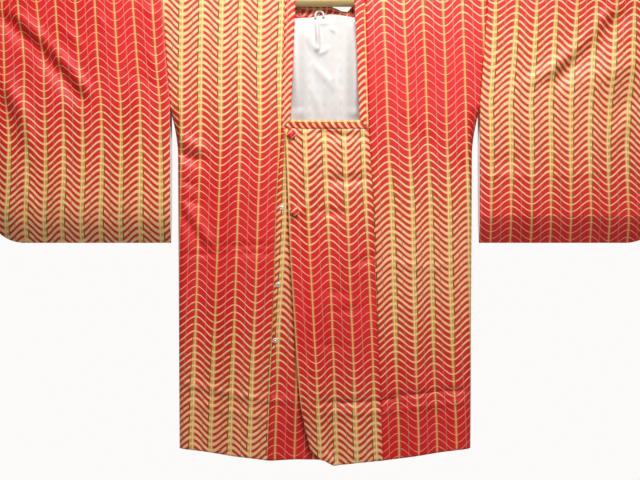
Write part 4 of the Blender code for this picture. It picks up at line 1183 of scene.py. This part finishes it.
def snap_lacquer():
    """White lacquer on brass, with painted shade in its four thread holes and in a ring round its
    raised middle.

    The map seat holds millimetres across and up from the middle. The holes' middles lie 2.9 mm
    across or up, and the ring of painted shade is 1.8 mm from the middle.
    """
    lacquer = Finish("snap_lacquer", 0.3, 0.5, coat=0.4, metallic=0.1)
    wear = lacquer.noise(lacquer.place(), 900.0, 3.0)
    worn = lacquer.edge(wear, 0.62, 0.74)
    white = lacquer.mix(worn, (0.86, 0.86, 0.84, 1), (0.62, 0.57, 0.45, 1))
    # Painted shade: the four thread holes and a ring round the raised middle are mixed towards dark
    # brown.
    across, up = (abs(one) for one in lacquer.map("seat"))
    far = lacquer.sum("MAXIMUM", across, up) - 2.9
    near = lacquer.sum("MINIMUM", across, up)
    hole_painted_shade = lacquer.edge(lacquer.sum("SQRT", near * near + far * far), 0.75, 1.05, 1.0, 0.0)
    middle = lacquer.sum("SQRT", across * across + up * up)
    ring = lacquer.edge(abs(middle - 1.8), 0.35, 0.75, 0.85, 0.0)
    lacquer.colour(lacquer.mix(lacquer.sum("MAXIMUM", hole_painted_shade, ring), white, (0.12, 0.045, 0.03, 1)))
    lacquer.bump(wear, 0.15, 0.0001)
    return lacquer.material


def snap_thread():
    """White sewing thread, twisted."""
    thread = Finish("snap_thread", 0.7, 0.2, sheen=0.2)
    twist = thread.noise(thread.place(), 2500.0, 1.0)
    thread.colour(thread.mix(twist, (0.70, 0.62, 0.60, 1), (0.90, 0.86, 0.84, 1)))
    thread.bump(twist, 0.4, 0.0002)
    return thread.material


white_lacquer = snap_lacquer()
white_thread = snap_thread()
for number, (socket_x, stud_x, d) in enumerate(SNAPS, start=1):
    seat = hung(socket_x, -(QUARTER + d), PANEL / 2 + SEAM - underlap_in(socket_x, d))
    stud_seat = hung(stud_x, -(QUARTER + d), lap_height(stud_x, d) - PANEL / 2 - SEAM)
    for half, profile, place, facing in (("socket", SOCKET_PROFILE, seat, -1),
                                         ("stud", STUD_PROFILE, stud_seat, 1)):
        snap = turned_piece(f"coat_snap_{half}_{number}", profile, 48, place, facing,
                            white_lacquer, lambda across, up: {"seat": (across * 1000, up * 1000)},
                            petals=4, petal_depth=-0.07)
        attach(snap, "root")
        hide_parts(f"snap_{half}_{number}")
    for stitch in range(4):
        turn = stitch * math.pi / 2
        reach = np.linspace(*STITCH_REACH, 7)
        lift = STITCH_RISE * np.sin(np.linspace(0.35, math.pi, 7)) + 0.0001
        stitch_path = joined(seat[0] + reach * math.cos(turn), seat[1] - lift,
                             seat[2] + reach * math.sin(turn))
        thread = grid_piece(f"coat_snap_thread_{number}_{stitch + 1}",
                            pipe(stitch_path, np.full(7, THREAD_R), 6), white_thread, tube=True)
        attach(thread, "root")

# Studio: a plain pale floor below the hem, a pale surround that is brightest behind the coat,
# and soft square lights, two in front of the coat and one behind it.
FLOOR_Z = -1.62
COAT_MIDDLE = (0, 0, -0.42)
floor_corners = [(x, y, FLOOR_Z) for x, y in ((-2.2, -1.1), (2.2, -1.1), (2.2, 1.3), (-2.2, 1.3))]
floor_mesh = bpy.data.meshes.new("studio_floor")
floor_mesh.from_pydata(floor_corners, [], [(0, 1, 2, 3)])
floor = bpy.data.objects.new("studio_floor", floor_mesh)
bpy.context.collection.objects.link(floor)
floor_paint = Finish("floor_paint", 0.8, 0.2)
floor_grain = floor_paint.noise(floor_paint.place(), 6.0, 3.0)
floor_paint.colour(floor_paint.mix(floor_grain, (0.80, 0.79, 0.78, 1), (0.84, 0.83, 0.82, 1)))
floor_mesh.materials.append(floor_paint.material)
floor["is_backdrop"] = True


def soft_light(name, place, size, power):
    """A square soft light that points at the middle of the coat."""
    lamp = bpy.data.lights.new(name, "AREA")
    lamp.size = size
    lamp.energy = power
    stand = bpy.data.objects.new(name, lamp)
    stand.location = place
    away = np.array(place) - COAT_MIDDLE
    stand.rotation_euler = (math.atan2(math.hypot(away[0], away[1]), away[2]), 0,
                            math.atan2(away[0], -away[1]))
    bpy.context.collection.objects.link(stand)


soft_light("key_light", (0.04, -0.91, 0.61), 0.34, 22.5)
soft_light("front_light", (0.80, -2.50, -0.15), 0.40, 8.1)
soft_light("back_light", (-1.00, 1.60, 1.10), 0.40, 16.0)
surround = bpy.data.worlds.new("surround")
surround.use_nodes = True
sky = Nodes(surround.node_tree)
backdrop = sky.tree.nodes["Background"]
backdrop.inputs["Color"].default_value = (1.0, 0.99, 0.98, 1)
away_back = sky.parts(sky.output("Generated", "ShaderNodeTexCoord"))[1]
brightness = sky.output(0, "ShaderNodeMapRange", away_back, -0.2, 0.75, 0.15, 0.97)
seen = sky.output("Is Camera Ray", "ShaderNodeLightPath")
sky.feed(backdrop.inputs["Strength"], sky.sum("MAXIMUM", seen * 0.97, brightness))
bpy.context.scene.world = surround
bpy.context.scene.view_settings.view_transform = "Standard"

# Camera: level with the middle of the coat, in front of it, framed as in the photograph, whose
# 640 pixels are 1.9 mm each at the coat's front.
VIEW_DISTANCE = 2.6
VIEW_WIDTH = 640 * 0.0019
COAT_FRONT_Y = -0.02
camera_data = bpy.data.cameras.new("camera")
camera_data.sensor_width = 36
camera_data.lens = camera_data.sensor_width * VIEW_DISTANCE / VIEW_WIDTH
camera = bpy.data.objects.new("camera", camera_data)
camera.location = (-0.0095, COAT_FRONT_Y - VIEW_DISTANCE, -0.5165)
camera.rotation_euler = (math.pi / 2, 0, 0)
bpy.context.collection.objects.link(camera)
bpy.context.scene.camera = camera

# Bounds of the bare solids and of the dressed coat, in metres.
bpy.context.view_layer.update()
final_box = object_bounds()
({"cad": [list(corner) for corner in cad_box],
           "visual": [list(corner) for corner in final_box]})
